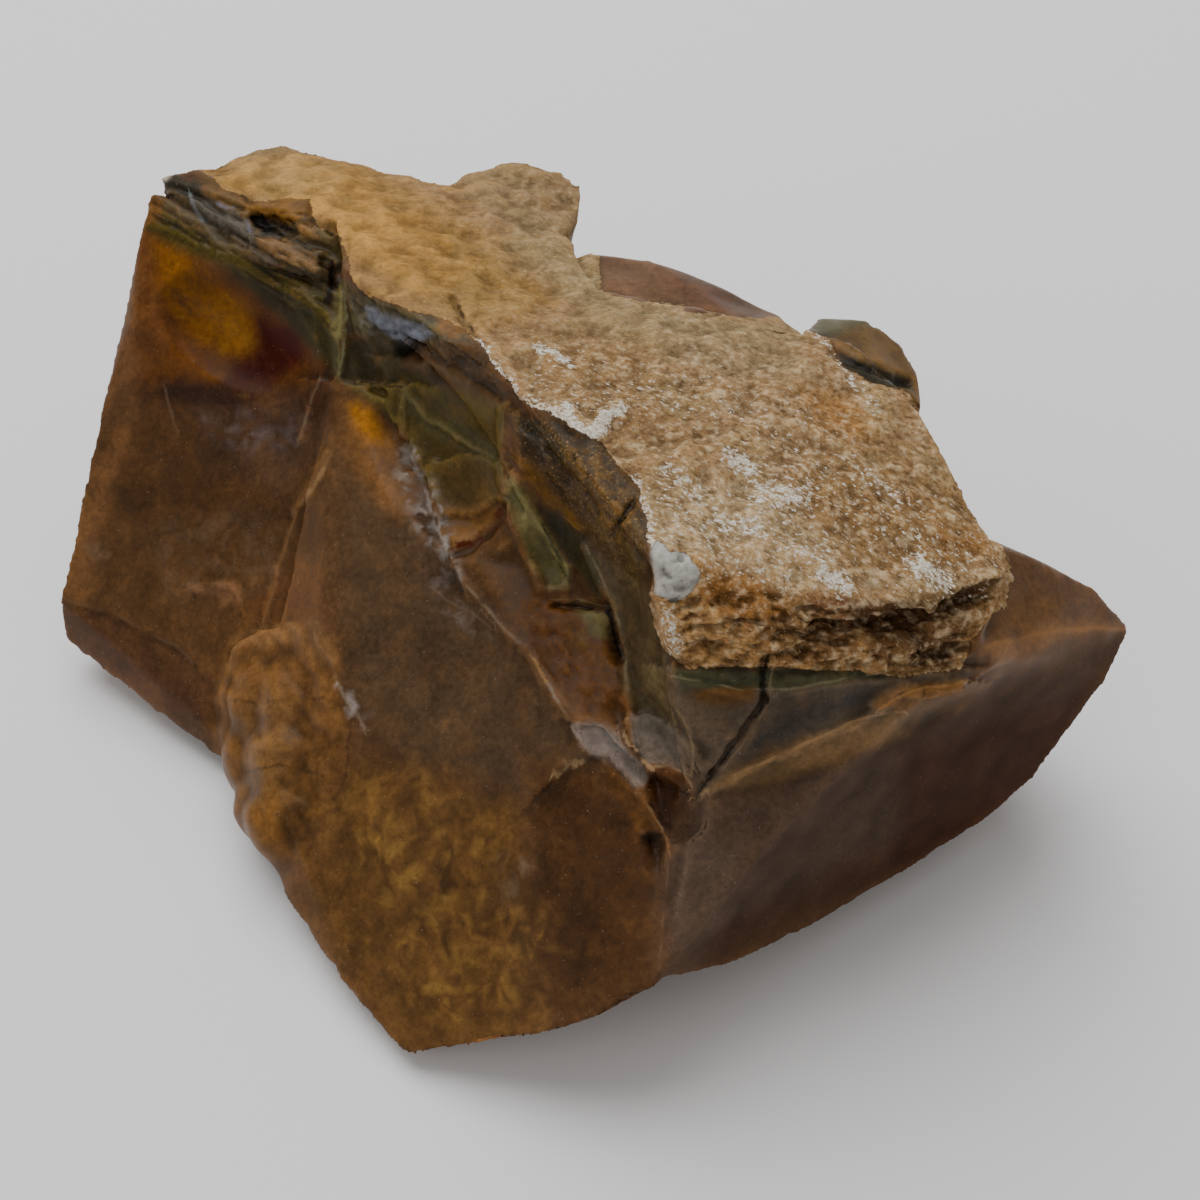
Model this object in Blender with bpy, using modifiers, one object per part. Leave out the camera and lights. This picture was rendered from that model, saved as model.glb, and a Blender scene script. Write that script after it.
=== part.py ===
"""Rough tiger eye chunk: one broken stone, brown glassy silica under a tan, rough rind.

The stone is built up from convex blocks, one for each mass of it, and from the rounded lumps
of its knobbly left end.  From them are taken the scars that flakes left when they were struck
off, which are oval bowls, and the hollows under its ledges, which are convex blocks too.  All
are given in mm: x to the right, y to the back, z up from the surface that the stone rests on.
The whole is then resampled on a fine grid, its shallow folds are rounded, and its skin is
weathered.
"""
import math

import bmesh
import bpy
from mathutils import Matrix, Vector, noise

MM = 0.001
NODE = "tiger_eye_chunk"
SHIFT = Vector((3.3, -2.8, 0.0))    # puts the middle of the footprint on the origin
MIDDLE = Vector((0.0, 0.0, 20.0))   # a point well inside, which every scar faces away from
GRID = 0.7                          # mm, the grid that the stone is resampled on
TRIANGLES = 9400                    # how many the finished solid has
FLAT = 0.4                          # mm, what lies lower than this is pressed flat at z = 0
SCAR_RIM = 1.12                     # how far a bowl runs on past its rim points
SCAR_SKY = 40.0                     # mm, how far a bowl's cutter stands out of the stone

# --- masses: each is the convex block round its corners -------------------------------------

MASSES = {
    "left_mass": {
        "foot": (-54.8, 9.2, 4.0),
        "foot_top": (-54.5, 10.6, 9.0),
        "foot_2": (-50.8, 7.0, 3.5),
        "foot_3": (-45.2, 3.7, 3.5),
        "foot_4": (-39.6, -0.9, 3.5),
        "band_2": (-49.3, 8.5, 8.5),
        "band_3": (-41.6, 3.8, 9.0),
        "band_4": (-37.7, 0.1, 7.0),
        "edge_low": (-50.7, 16.0, 18.0),
        "edge_mid": (-47.0, 22.5, 27.0),
        "edge_high": (-45.6, 27.0, 31.0),
        "edge_top": (-45.4, 34.6, 36.5),
        "tip_front": (-44.4, 37.0, 39.0),
        "layer_mid": (-35.0, 26.1, 38.0),
        "layer_right": (-24.9, 17.4, 36.0),
        "layer_top_1": (-33.7, 31.6, 41.0),
        "layer_top_2": (-25.2, 27.0, 41.5),
        "ridge_1": (-24.8, 15.6, 33.2),
        "ridge_2": (-24.9, 6.4, 23.5),
        "ridge_3": (-24.6, 2.7, 19.8),
        "ridge_4": (-25.1, -0.2, 16.5),
        "ridge_foot": (-30.0, -4.0, 7.0),
        "back_foot": (-43.0, 28.0, 3.5),
        "back_tip": (-40.0, 41.0, 34.0),
        "base_1": (-18.0, -20.0, 0.0),
        "base_2": (-26.0, -4.0, 0.0),
        "base_3": (-28.0, 12.0, 0.0),
        "base_4": (-14.0, 22.0, 0.0),
        "base_5": (0.0, 10.0, 0.0),
        "inner_top": (-15.0, 20.0, 38.0),
    },
    "flank_mass": {
        "front_tip": (-17.1, -37.8, 2.0),
        "front_edge_1": (-13.8, -37.9, 3.8),
        "front_edge_2": (-7.6, -38.9, 7.2),
        "front_edge_3": (-3.4, -39.6, 9.4),
        "front_edge_4": (0.0, -39.6, 11.6),
        "front_edge_5": (3.3, -38.6, 14.2),
        "prow_tip": (5.3, -38.4, 15.4),
        "prow_low": (5.7, -33.4, 19.3),
        "prow_mid": (6.3, -31.4, 21.6),
        "prow_high": (7.4, -29.2, 24.4),
        "left_foot_1": (-34.3, -11.2, 3.6),
        "left_foot_2": (-32.4, -15.6, 3.6),
        "left_foot_3": (-28.8, -22.0, 3.6),
        "left_foot_4": (-23.3, -30.0, 2.9),
        "shoulder_1": (-27.2, -20.5, 8.0),
        "shoulder_2": (-24.9, -11.6, 16.0),
        "shoulder_3": (-23.6, -8.5, 18.8),
        "ridge_top": (-25.2, 16.4, 32.8),
        "ridge_mid": (-24.5, 4.3, 25.1),
        "ridge_low": (-24.0, -0.4, 22.3),
        "under_wall_1": (-5.0, 3.0, 36.3),
        "under_wall_2": (8.0, -14.0, 33.0),
        "under_wall_3": (10.0, -24.0, 28.0),
        "base_1": (-26.0, -4.0, 0.0),
        "base_2": (-18.0, -20.0, 0.0),
        "base_3": (0.0, -19.0, 0.0),
        "base_4": (14.0, -12.0, 0.0),
        "base_5": (-14.0, 16.0, 0.0),
        "inner_back": (10.0, 10.0, 20.0),
    },
    "knobbly_mass": {
        "rim_1": (-35.6, 0.8, 12.9),
        "rim_2": (-32.8, 1.2, 14.8),
        "rim_3": (-28.0, -0.6, 17.2),
        "rim_4": (-24.2, -5.0, 19.1),
        "right_1": (-21.4, -11.8, 16.0),
        "right_2": (-21.6, -16.0, 13.0),
        "right_3": (-23.4, -18.8, 10.2),
        "right_4": (-26.0, -21.2, 7.0),
        "swell_1": (-31.2, -6.9, 12.8),
        "swell_2": (-27.6, -8.0, 14.6),
        "swell_3": (-27.4, -12.4, 11.8),
        "swell_4": (-29.8, -13.8, 8.8),
        "foot_1": (-37.4, -1.4, 8.0),
        "foot_2": (-36.8, -5.0, 3.6),
        "foot_3": (-34.6, -10.8, 3.6),
        "foot_4": (-32.6, -15.5, 3.6),
        "foot_5": (-29.2, -21.0, 3.8),
        "inner_1": (-20.0, 2.0, 6.0),
        "inner_2": (-20.0, -14.0, 6.0),
    },
    "rind_tip": {
        "left_tip": (-43.4, 38.3, 40.2),
        "left_front": (-33.7, 32.0, 41.5),
        "inner_corner": (-25.2, 29.0, 42.5),
        "inside": (-16.0, 27.0, 41.4),
        "back_5": (-15.9, 39.2, 39.0),
        "back_6": (-32.5, 45.2, 39.5),
        "under_tip": (-42.0, 38.0, 34.0),
        "under_back": (-31.0, 42.0, 33.0),
        "under_front": (-26.0, 25.0, 37.0),
        "under_front_left": (-36.5, 30.0, 36.0),
        "under_inside": (-14.0, 34.0, 32.0),
    },
    "rind_middle": {
        "inner_corner": (-25.2, 29.0, 42.5),
        "edge_1": (-23.6, 20.2, 43.0),
        "edge_2": (-14.3, 14.3, 44.0),
        "edge_3": (-10.9, 8.9, 44.5),
        "edge_4": (-6.8, 0.8, 45.0),
        "back_3": (-0.2, 19.6, 41.0),
        "back_4": (-2.9, 29.8, 39.0),
        "back_5": (-15.9, 39.2, 39.0),
        "under_1": (-22.5, 17.0, 34.0),
        "under_2": (-16.0, 9.0, 33.0),
        "under_3": (-8.0, 0.0, 33.0),
        "under_back": (-4.0, 30.0, 26.0),
        "under_left": (-22.0, 28.0, 30.0),
    },
    "rind_block": {
        "edge_2": (-14.3, 14.3, 44.0),
        "edge_3": (-10.9, 8.9, 44.5),
        "edge_4": (-6.8, 0.4, 45.0),
        "edge_5": (0.0, -5.8, 45.5),
        "edge_6": (3.2, -11.7, 46.0),
        "prow": (4.3, -20.0, 46.0),
        "front_1": (10.9, -20.7, 44.5),
        "front_2": (19.6, -21.4, 42.0),
        "front_3": (26.5, -19.6, 41.0),
        "front_corner": (33.6, -14.6, 39.0),
        "right_1": (30.7, -6.0, 40.0),
        "right_2": (27.8, 3.0, 41.0),
        "back_1": (22.4, 11.8, 41.5),
        "back_2": (10.9, 15.7, 41.5),
        "back_3": (-0.2, 19.6, 41.0),
        "cliff_foot_1": (5.7, -24.5, 38.0),
        "cliff_foot_2": (12.6, -24.5, 37.0),
        "cliff_foot_3": (22.6, -22.4, 35.0),
        "cliff_foot_4": (30.1, -18.6, 34.5),
        "lip_1": (8.1, -28.4, 27.0),
        "lip_2": (18.8, -26.2, 27.5),
        "lip_3": (28.9, -21.5, 30.0),
        "wall_foot_1": (-8.6, -1.5, 30.0),
        "wall_foot_2": (-3.2, -4.6, 26.0),
        "wall_foot_3": (2.4, -13.4, 24.0),
        "wall_foot_4": (7.0, -26.0, 24.0),
        "under_back_1": (-4.0, 16.0, 24.0),
        "under_back_2": (22.0, 8.0, 24.0),
        "under_back_3": (30.0, -6.0, 28.0),
    },
    "right_mass": {
        "prow_top": (8.1, -28.5, 26.8),
        "prow_mid": (6.4, -31.5, 21.4),
        "prow_low": (5.8, -33.5, 19.1),
        "prow_tip": (5.4, -38.3, 15.3),
        "edge_1": (8.1, -35.7, 12.0),
        "edge_2": (10.8, -33.7, 10.0),
        "edge_3": (15.6, -30.2, 8.0),
        "edge_4": (23.5, -24.9, 6.0),
        "edge_5": (31.3, -20.3, 6.0),
        "edge_6": (37.7, -17.7, 7.0),
        "edge_7": (41.5, -15.0, 9.0),
        "edge_8": (44.8, -8.4, 15.5),
        "spur": (48.4, -5.2, 22.0),
        "slope_1": (44.3, -5.4, 27.2),
        "slope_2": (39.2, -6.6, 31.4),
        "slope_3": (34.0, -8.4, 35.8),
        "lip_right": (30.2, -20.2, 32.0),
        "lip_top": (30.4, -18.9, 34.5),
        "lip_mid": (18.8, -26.2, 27.0),
        "back_spur": (42.5, 3.0, 15.0),
        "back_foot": (36.0, 4.0, 5.0),
        "back_top": (28.0, -2.0, 34.0),
        "base_1": (0.0, -19.0, 0.0),
        "base_2": (14.0, -12.0, 0.0),
        "base_3": (22.0, -2.0, 0.0),
        "base_4": (20.0, 8.0, 0.0),
        "base_5": (0.0, 8.0, 0.0),
        "inner": (5.0, -5.0, 10.0),
        "inner_top": (5.0, -10.0, 30.0),
    },
    "back_mass": {
        "shelf_1": (-1.0, 31.0, 36.5),
        "shelf_2": (4.8, 29.2, 37.0),
        "shelf_3": (8.9, 27.4, 36.5),
        "shelf_4": (11.7, 24.8, 36.0),
        "shelf_5": (17.0, 21.2, 37.0),
        "shelf_front_1": (0.0, 19.0, 39.6),
        "shelf_front_2": (16.0, 13.0, 40.4),
        "right_top": (26.0, 4.0, 38.0),
        "waist_1": (-14.0, 41.0, 24.0),
        "waist_2": (12.0, 31.0, 22.0),
        "waist_3": (31.0, 13.5, 20.0),
        "waist_4": (40.0, 3.0, 14.0),
        "heel_1": (-20.0, 38.0, 5.0),
        "heel_2": (6.0, 32.0, 3.5),
        "heel_3": (26.0, 18.0, 4.0),
        "heel_4": (35.0, 6.0, 5.0),
        "base_1": (-28.0, 12.0, 0.0),
        "base_2": (-14.0, 22.0, 0.0),
        "base_3": (4.0, 22.0, 0.0),
        "base_4": (20.0, 12.0, 0.0),
        "base_5": (22.0, -2.0, 0.0),
        "base_6": (0.0, 0.0, 0.0),
        "inner_left": (-30.0, 30.0, 20.0),
    },
    "back_left_mass": {
        "top_1": (-43.4, 38.6, 36.0),
        "top_2": (-32.0, 44.6, 36.0),
        "top_3": (-15.0, 39.4, 37.0),
        "top_4": (-12.0, 28.0, 38.0),
        "front": (-44.0, 33.0, 33.0),
        "waist_1": (-45.0, 34.0, 20.0),
        "waist_2": (-30.0, 44.0, 22.0),
        "waist_3": (-10.0, 38.0, 22.0),
        "heel_1": (-43.0, 26.0, 4.0),
        "heel_2": (-33.0, 37.0, 4.5),
        "heel_3": (-16.0, 37.0, 4.5),
        "base_1": (-28.0, 12.0, 0.0),
        "base_2": (-14.0, 22.0, 0.0),
        "base_3": (0.0, 20.0, 0.0),
        "inner": (-10.0, 10.0, 10.0),
    },
    "layer_ledge": {
        "top_left": (-33.6, 28.4, 40.4),
        "top_right": (-26.4, 25.6, 41.0),
        "low_left": (-33.6, 26.2, 39.6),
        "low_right": (-26.4, 22.6, 39.8),
        "inner_left": (-32.0, 28.6, 36.6),
        "inner_right": (-25.0, 25.0, 36.6),
    },
    "core": {
        "base_1": (-26.0, -4.0, 0.0),
        "base_2": (-18.0, -20.0, 0.0),
        "base_3": (0.0, -19.0, 0.0),
        "base_4": (14.0, -12.0, 0.0),
        "base_5": (22.0, -2.0, 0.0),
        "base_6": (20.0, 12.0, 0.0),
        "base_7": (4.0, 22.0, 0.0),
        "base_8": (-14.0, 22.0, 0.0),
        "base_9": (-28.0, 12.0, 0.0),
        "top_1": (-36.0, 24.0, 26.0),
        "top_2": (-20.0, 12.0, 26.0),
        "top_3": (2.0, -14.0, 23.0),
        "top_4": (28.0, -10.0, 28.0),
        "top_5": (20.0, 12.0, 34.0),
        "top_6": (-14.0, 34.0, 34.0),
        "front_low": (0.0, -30.0, 9.0),
    },
    "knob": {
        "top_1": (-16.5, 38.4, 38.8),
        "top_2": (-12.0, 40.6, 38.9),
        "top_3": (-8.6, 43.2, 38.6),
        "top_4": (-4.0, 42.4, 38.2),
        "top_5": (-1.8, 40.8, 37.4),
        "top_6": (-2.0, 37.0, 37.6),
        "top_7": (-3.2, 31.0, 38.6),
        "top_8": (-12.0, 30.0, 40.4),
        "foot_1": (-15.0, 37.0, 29.0),
        "foot_2": (-8.0, 38.0, 31.0),
        "foot_3": (-4.0, 34.0, 29.0),
        "foot_4": (-14.0, 30.0, 26.0),
    },
    "lump": {
        "top_1": (20.0, 18.6, 38.6),
        "top_2": (24.6, 18.4, 38.6),
        "top_3": (27.6, 15.3, 38.2),
        "top_4": (28.9, 12.0, 37.6),
        "top_5": (28.7, 6.6, 38.0),
        "top_6": (24.6, 9.0, 40.6),
        "top_7": (18.0, 12.0, 41.2),
        "foot_1": (21.0, 15.0, 27.0),
        "foot_2": (26.0, 11.0, 28.0),
        "foot_3": (27.0, 4.0, 28.0),
        "foot_4": (18.0, 8.0, 24.0),
    },
}

# --- boulders: rounded lumps, each given by its centre and its three radii --------------------

BOULDERS = {
    "boulder_1": ((-30.4, -3.6, 9.6), (5.6, 5.2, 5.2)),
    "boulder_2": ((-26.8, -4.9, 11.7), (5.7, 5.6, 5.3)),
    "boulder_3": ((-31.0, -7.0, 5.6), (5.6, 5.4, 5.2)),
    "boulder_4": ((-26.9, -9.7, 8.1), (6.4, 6.8, 6.1)),
    "boulder_5": ((-30.2, -12.2, 4.9), (4.6, 4.6, 4.4)),
    "boulder_6": ((-28.4, -15.0, 6.5), (4.7, 4.7, 4.6)),
}

# --- hollows under ledges: convex blocks that are cut away ----------------------------------

HOLLOWS = {
    "wall_trough": {
        "start": (-8.8, -3.6, 31.0),
        "floor_1": (-3.5, -4.4, 29.6),
        "floor_2": (2.1, -13.2, 27.6),
        "floor_3": (7.4, -25.6, 26.2),
        "wall_1": (-3.5, -2.9, 35.0),
        "wall_2": (2.2, -11.9, 34.0),
        "wall_top_1": (-7.0, 0.2, 43.5),
        "wall_top_2": (-0.1, -5.9, 44.0),
        "wall_top_3": (3.0, -11.9, 44.5),
        "wall_top_4": (4.0, -20.0, 44.5),
        "rim_1": (-13.4, -2.9, 29.2),
        "rim_2": (-7.0, -11.4, 26.9),
        "rim_3": (-3.7, -16.0, 25.6),
        "rim_4": (3.8, -25.0, 24.6),
        "rim_5": (6.2, -27.8, 25.4),
        "out_1": (-20.0, -8.0, 44.0),
        "out_2": (-4.0, -32.0, 44.0),
    },
    "prow_pit": {
        "rim_1": (3.5, -24.8, 25.6),
        "rim_2": (5.1, -24.5, 26.7),
        "rim_3": (6.8, -26.8, 27.0),
        "rim_4": (5.9, -28.4, 23.9),
        "rim_5": (4.8, -28.9, 23.0),
        "rim_6": (3.2, -25.9, 24.9),
        "deep_1": (4.7, -24.5, 24.0),
        "deep_2": (6.6, -25.7, 24.6),
        "floor_1": (6.1, -27.9, 23.2),
        "floor_2": (4.9, -28.5, 22.4),
    },
    "prow_pit_low": {
        "rim_1": (3.1, -28.9, 22.6),
        "rim_2": (4.9, -28.8, 23.1),
        "rim_3": (5.4, -29.9, 22.9),
        "rim_4": (5.6, -30.8, 22.8),
        "rim_5": (4.7, -32.9, 20.8),
        "rim_6": (3.5, -31.1, 21.4),
        "deep_1": (4.2, -28.6, 21.3),
        "deep_2": (5.4, -28.9, 21.4),
        "floor": (4.9, -32.4, 20.2),
    },
    "layer_crevice": {
        "mouth_1": (-34.4, 30.4, 41.6),
        "mouth_2": (-28.6, 28.8, 42.0),
        "mouth_3": (-34.0, 29.6, 40.3),
        "mouth_4": (-28.9, 27.6, 40.8),
        "deep_1": (-32.6, 32.4, 40.2),
        "deep_2": (-29.0, 31.0, 40.4),
    },
    "fin_slot": {
        "mouth_1": (-26.2, 24.4, 42.0),
        "mouth_2": (-24.7, 24.2, 42.2),
        "mouth_3": (-26.0, 20.4, 38.6),
        "mouth_4": (-24.8, 20.0, 38.8),
        "deep": (-24.6, 25.6, 38.4),
    },
    "cliff_slot": {
        "roof_1": (13.0, -21.2, 41.4),
        "roof_2": (20.0, -22.6, 41.0),
        "roof_3": (27.6, -20.4, 40.2),
        "roof_4": (34.0, -13.4, 38.8),
        "deep_1": (15.6, -19.2, 40.6),
        "deep_2": (26.4, -17.0, 39.6),
        "floor_1": (15.0, -23.4, 38.2),
        "floor_2": (21.4, -24.4, 37.0),
        "floor_3": (29.2, -21.4, 37.0),
        "floor_4": (33.4, -15.6, 37.6),
    },
    "cliff_pocket": {
        "mouth_1": (23.4, -24.5, 36.8),
        "mouth_2": (31.6, -20.0, 36.2),
        "mouth_3": (22.6, -25.4, 34.6),
        "mouth_4": (29.6, -23.2, 31.6),
        "mouth_5": (32.4, -19.6, 33.6),
        "deep_1": (25.4, -19.6, 36.2),
        "deep_2": (29.2, -18.0, 34.8),
    },
    "knob_neck": {
        "near_1": (-2.2, 30.0, 41.0),
        "near_2": (-3.6, 35.0, 33.0),
        "far_1": (1.0, 36.5, 41.0),
        "far_2": (6.0, 40.0, 41.0),
        "far_3": (6.0, 34.0, 34.5),
        "low": (-1.0, 38.0, 26.0),
    },
}

# --- scars: each an oval bowl: both ends of its rim, a point on its side, and its depth -----

SCARS = {
    "amber_shell": ((-44.8, 29.4, 35.0), (-26.0, 15.8, 32.9), (-36.7, 18.7, 28.6), 3.0),
    "left_panel": ((-45.6, 27.0, 31.0), (-33.0, -1.0, 11.0), (-24.1, 15.4, 33.0), 1.0),
    "left_back": ((-50.6, 20.0, 12.0), (-45.4, 35.0, 32.0), (-44.0, 33.0, 9.0), 0.7),
    "upper_left_hollow": ((-24.4, 17.0, 36.0), (-8.0, -5.0, 30.4), (-14.0, -2.6, 28.4), 2.6),
    "front_right_face": ((5.6, -37.6, 12.0), (46.4, -8.4, 12.0), (19.0, -27.0, 28.6), 1.5),
    "prow_chip_high": ((3.2, -25.6, 25.6), (8.4, -29.0, 25.0), (7.0, -26.2, 28.4), 1.0),
    "back_left": ((-47.0, 27.0, 2.0), (-18.0, 44.5, 31.0), (-44.0, 38.0, 31.0), 2.6),
    "back_middle": ((-20.0, 42.0, 0.0), (12.0, 32.0, 30.0), (14.0, 30.5, 0.0), 2.4),
    "back_right": ((6.0, 33.5, 0.0), (33.0, 13.0, 33.0), (36.0, 10.0, 2.0), 2.6),
    "right_back": ((31.0, 12.0, 22.0), (45.0, -3.0, 17.0), (38.0, 6.5, 7.0), 1.8),
    "right_top_back": ((30.0, 4.0, 36.0), (48.0, -4.6, 21.2), (33.0, 9.0, 22.0), 1.2),
}

# The order in which the masses are joined on and the scars and hollows are taken away.
ORDER = [
    "left_mass", "left_back", "amber_shell", "left_panel", "flank_mass", "knobbly_mass",
    "boulder_1", "boulder_2", "boulder_3", "boulder_4", "boulder_5", "boulder_6", "right_mass",
    "back_mass", "back_left_mass", "core", "back_left", "back_middle", "back_right", "right_back",
    "right_top_back", "rind_tip", "rind_middle", "rind_block", "layer_ledge", "knob", "lump",
    "knob_neck", "layer_crevice", "fin_slot", "upper_left_hollow", "wall_trough", "cliff_slot",
    "cliff_pocket", "front_right_face", "prow_chip_high", "prow_pit", "prow_pit_low",
]


def block(name, corners):
    """A convex block round named corners."""
    cage = bmesh.new()
    for corner in corners.values():
        cage.verts.new((Vector(corner) + SHIFT) * MM)
    made = bmesh.ops.convex_hull(cage, input=cage.verts)
    spare = set(made["geom_interior"] + made["geom_unused"])
    bmesh.ops.delete(cage, geom=[v for v in spare if isinstance(v, bmesh.types.BMVert)], context="VERTS")
    bmesh.ops.recalc_face_normals(cage, faces=cage.faces)
    mesh = bpy.data.meshes.new(name)
    cage.to_mesh(mesh)
    cage.free()
    return bpy.data.objects.new(name, mesh)


def boulder(name, centre, radii):
    """A rounded lump with three radii."""
    ball = bmesh.new()
    bmesh.ops.create_icosphere(ball, subdivisions=3, radius=MM)
    bmesh.ops.scale(ball, vec=Vector(radii), verts=ball.verts)
    bmesh.ops.translate(ball, vec=(Vector(centre) + SHIFT) * MM, verts=ball.verts)
    mesh = bpy.data.meshes.new(name)
    ball.to_mesh(mesh)
    ball.free()
    return bpy.data.objects.new(name, mesh)


def scar(name, end_a, end_b, side, depth, rings=6, turns=40):
    """A turned bowl, made oval, whose rim passes through both ends and the side point."""
    a, b, c = (Vector(p) + SHIFT for p in (end_a, end_b, side))
    middle = (a + b) / 2
    half = (b - a).length / 2
    along = (b - a).normalized()
    across = (c - middle) - along * (c - middle).dot(along)
    reach = (c - middle).dot(along) / half
    width = across.length / math.sqrt(1 - reach * reach)
    across.normalize()
    out = along.cross(across)
    if out.dot(middle - MIDDLE) < 0:
        across, out = -across, -out
    profile = [(0.0, SCAR_SKY), (SCAR_RIM * 1.03 * half, SCAR_SKY)]
    for i in range(rings + 1):
        r = SCAR_RIM * (1 - i / rings)
        profile.append((r * half, depth * (r * r - 1)))
    mesh = bpy.data.meshes.new(name)
    points = [(x * MM, 0.0, z * MM) for x, z in profile]
    mesh.from_pydata(points, [(i, i + 1) for i in range(len(points) - 1)], [])
    bowl = bpy.data.objects.new(name, mesh)
    turn = bowl.modifiers.new("turn", "SCREW")
    turn.axis = "Z"
    turn.steps = turn.render_steps = turns
    turn.use_merge_vertices = True
    turn.merge_threshold = 0.00001
    frame = Matrix((along, across, out)).transposed().to_4x4()
    frame.translation = middle * MM
    bowl.matrix_world = frame @ Matrix.Diagonal((1.0, width / half, 1.0, 1.0))
    return bowl


def carve(parts, cutters):
    """Joins the masses and takes away the scars and hollows, one after the other."""
    first = ORDER[0]
    stone = block(NODE, MASSES[first])
    parts.objects.link(stone)
    for name in ORDER[1:]:
        if name in SCARS:
            tool = scar(name, *SCARS[name])
        elif name in BOULDERS:
            tool = boulder(name, *BOULDERS[name])
        else:
            tool = block(name, MASSES.get(name) or HOLLOWS[name])
        tool.hide_render = True
        tool.display_type = "WIRE"
        cutters.objects.link(tool)
        step = stone.modifiers.new(name, "BOOLEAN")
        added = name in MASSES or name in BOULDERS
        step.operation = "UNION" if added else "DIFFERENCE"
        step.solver = "EXACT"
        step.object = tool
    return stone


def settle(thing):
    """Applies an object's modifiers, so that its own mesh has the shape."""
    bpy.context.view_layer.update()
    graph = bpy.context.evaluated_depsgraph_get()
    mesh = bpy.data.meshes.new_from_object(thing.evaluated_get(graph))
    thing.modifiers.clear()
    thing.data = mesh


def resample(stone):
    grid = stone.modifiers.new("grid", "REMESH")
    grid.mode = "VOXEL"
    grid.voxel_size = GRID * MM
    settle(stone)


def soften(mesh, rounds, keep):
    """Rounds the shallow folds between facets, and keeps the edges sharper than keep."""
    shape = bmesh.new()
    shape.from_mesh(mesh)
    for _ in range(rounds):
        shape.normal_update()
        moved = []
        for v in shape.verts:
            near = [e.other_vert(v) for e in v.link_edges]
            if min(v.normal.dot(n.normal) for n in near) > keep:
                middle = sum((n.co for n in near), Vector()) / len(near)
                moved.append((v, v.co.lerp(middle, 0.6)))
        for v, place in moved:
            v.co = place
    shape.to_mesh(mesh)
    shape.free()


def rind_cover(p):
    """1 on the weathered skin, which is the low dome of the top, and 0 well under it."""
    x, y, z = p
    under = 45.0 - 0.11 * abs(x + 2.0) - 0.16 * max(0.0, y) - z
    return max(0.0, min(1.0, 1.0 - under / 5.0))


def weather(mesh):
    """Low lumps all over, and coarser pitting on the rind."""
    shape = bmesh.new()
    shape.from_mesh(mesh)
    shape.normal_update()
    for v in shape.verts:
        p = v.co / MM - SHIFT
        swell = noise.fractal(p * 0.09, 0.9, 2.0, 3) * 0.25
        pits = noise.fractal(p * 0.22, 0.9, 2.0, 2) * 0.6 * rind_cover(p)
        v.co += v.normal * (swell + pits) * MM
    shape.to_mesh(mesh)
    shape.free()


def thin_out(stone):
    thin = stone.modifiers.new("thin", "DECIMATE")
    thin.ratio = TRIANGLES / (2 * len(stone.data.polygons))
    settle(stone)


def rest_flat(mesh):
    for v in mesh.vertices:
        if v.co.z < FLAT * MM:
            v.co.z = 0.0


def stone_material():
    brown = bpy.data.materials.new("brown_silica")
    brown.use_nodes = True
    shader = brown.node_tree.nodes["Principled BSDF"]
    shader.inputs["Base Color"].default_value = (0.098, 0.045, 0.016, 1.0)
    shader.inputs["Roughness"].default_value = 0.38
    shader.inputs["Metallic"].default_value = 0.0
    return brown


def clear_scene():
    for thing in list(bpy.data.objects):
        bpy.data.objects.remove(thing)


def main():
    clear_scene()
    scene = bpy.context.scene.collection
    parts = bpy.data.collections.new("rough_tiger_eye_chunk")
    cutters = bpy.data.collections.new("cutters")
    scene.children.link(parts)
    scene.children.link(cutters)
    stone = carve(parts, cutters)
    settle(stone)
    resample(stone)
    soften(stone.data, 4, 0.9)
    weather(stone.data)
    thin_out(stone)
    rest_flat(stone.data)
    stone.data.materials.clear()
    stone.data.materials.append(stone_material())


main()
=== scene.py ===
"""Looks of the rough tiger eye chunk: the stone's own steps again, on a finer grid and with
its small relief, its zones of colour, a procedural material, soft light and the camera.

The stone is worked out in mm: x to the right, y to the back, z up from what it rests on.
Zones and thin marks are drawn as points of the picture that the camera takes, in px, and lie
on whatever the camera sees of the stone there.
"""
import math

import bmesh
import bpy
import numpy as np
from mathutils import Matrix, Vector, noise
from mathutils.bvhtree import BVHTree


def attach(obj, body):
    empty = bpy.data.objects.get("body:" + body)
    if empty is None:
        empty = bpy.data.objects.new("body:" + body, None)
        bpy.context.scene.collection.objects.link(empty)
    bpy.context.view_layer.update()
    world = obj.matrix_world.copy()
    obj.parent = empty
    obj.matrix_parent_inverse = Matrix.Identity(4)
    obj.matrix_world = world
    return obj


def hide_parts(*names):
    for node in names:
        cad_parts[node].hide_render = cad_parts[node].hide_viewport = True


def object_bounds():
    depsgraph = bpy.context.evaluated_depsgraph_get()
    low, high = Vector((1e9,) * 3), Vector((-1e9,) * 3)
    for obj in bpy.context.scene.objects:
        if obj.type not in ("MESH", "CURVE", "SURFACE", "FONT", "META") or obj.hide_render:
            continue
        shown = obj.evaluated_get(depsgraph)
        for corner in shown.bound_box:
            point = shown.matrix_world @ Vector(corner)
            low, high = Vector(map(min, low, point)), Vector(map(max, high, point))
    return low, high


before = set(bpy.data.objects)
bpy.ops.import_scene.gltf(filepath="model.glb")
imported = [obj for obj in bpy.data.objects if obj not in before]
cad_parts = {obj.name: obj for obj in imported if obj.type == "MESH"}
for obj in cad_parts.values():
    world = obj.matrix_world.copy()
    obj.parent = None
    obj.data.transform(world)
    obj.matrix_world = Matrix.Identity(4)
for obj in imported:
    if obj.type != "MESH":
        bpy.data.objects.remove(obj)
cad_low, cad_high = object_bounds()

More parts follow.
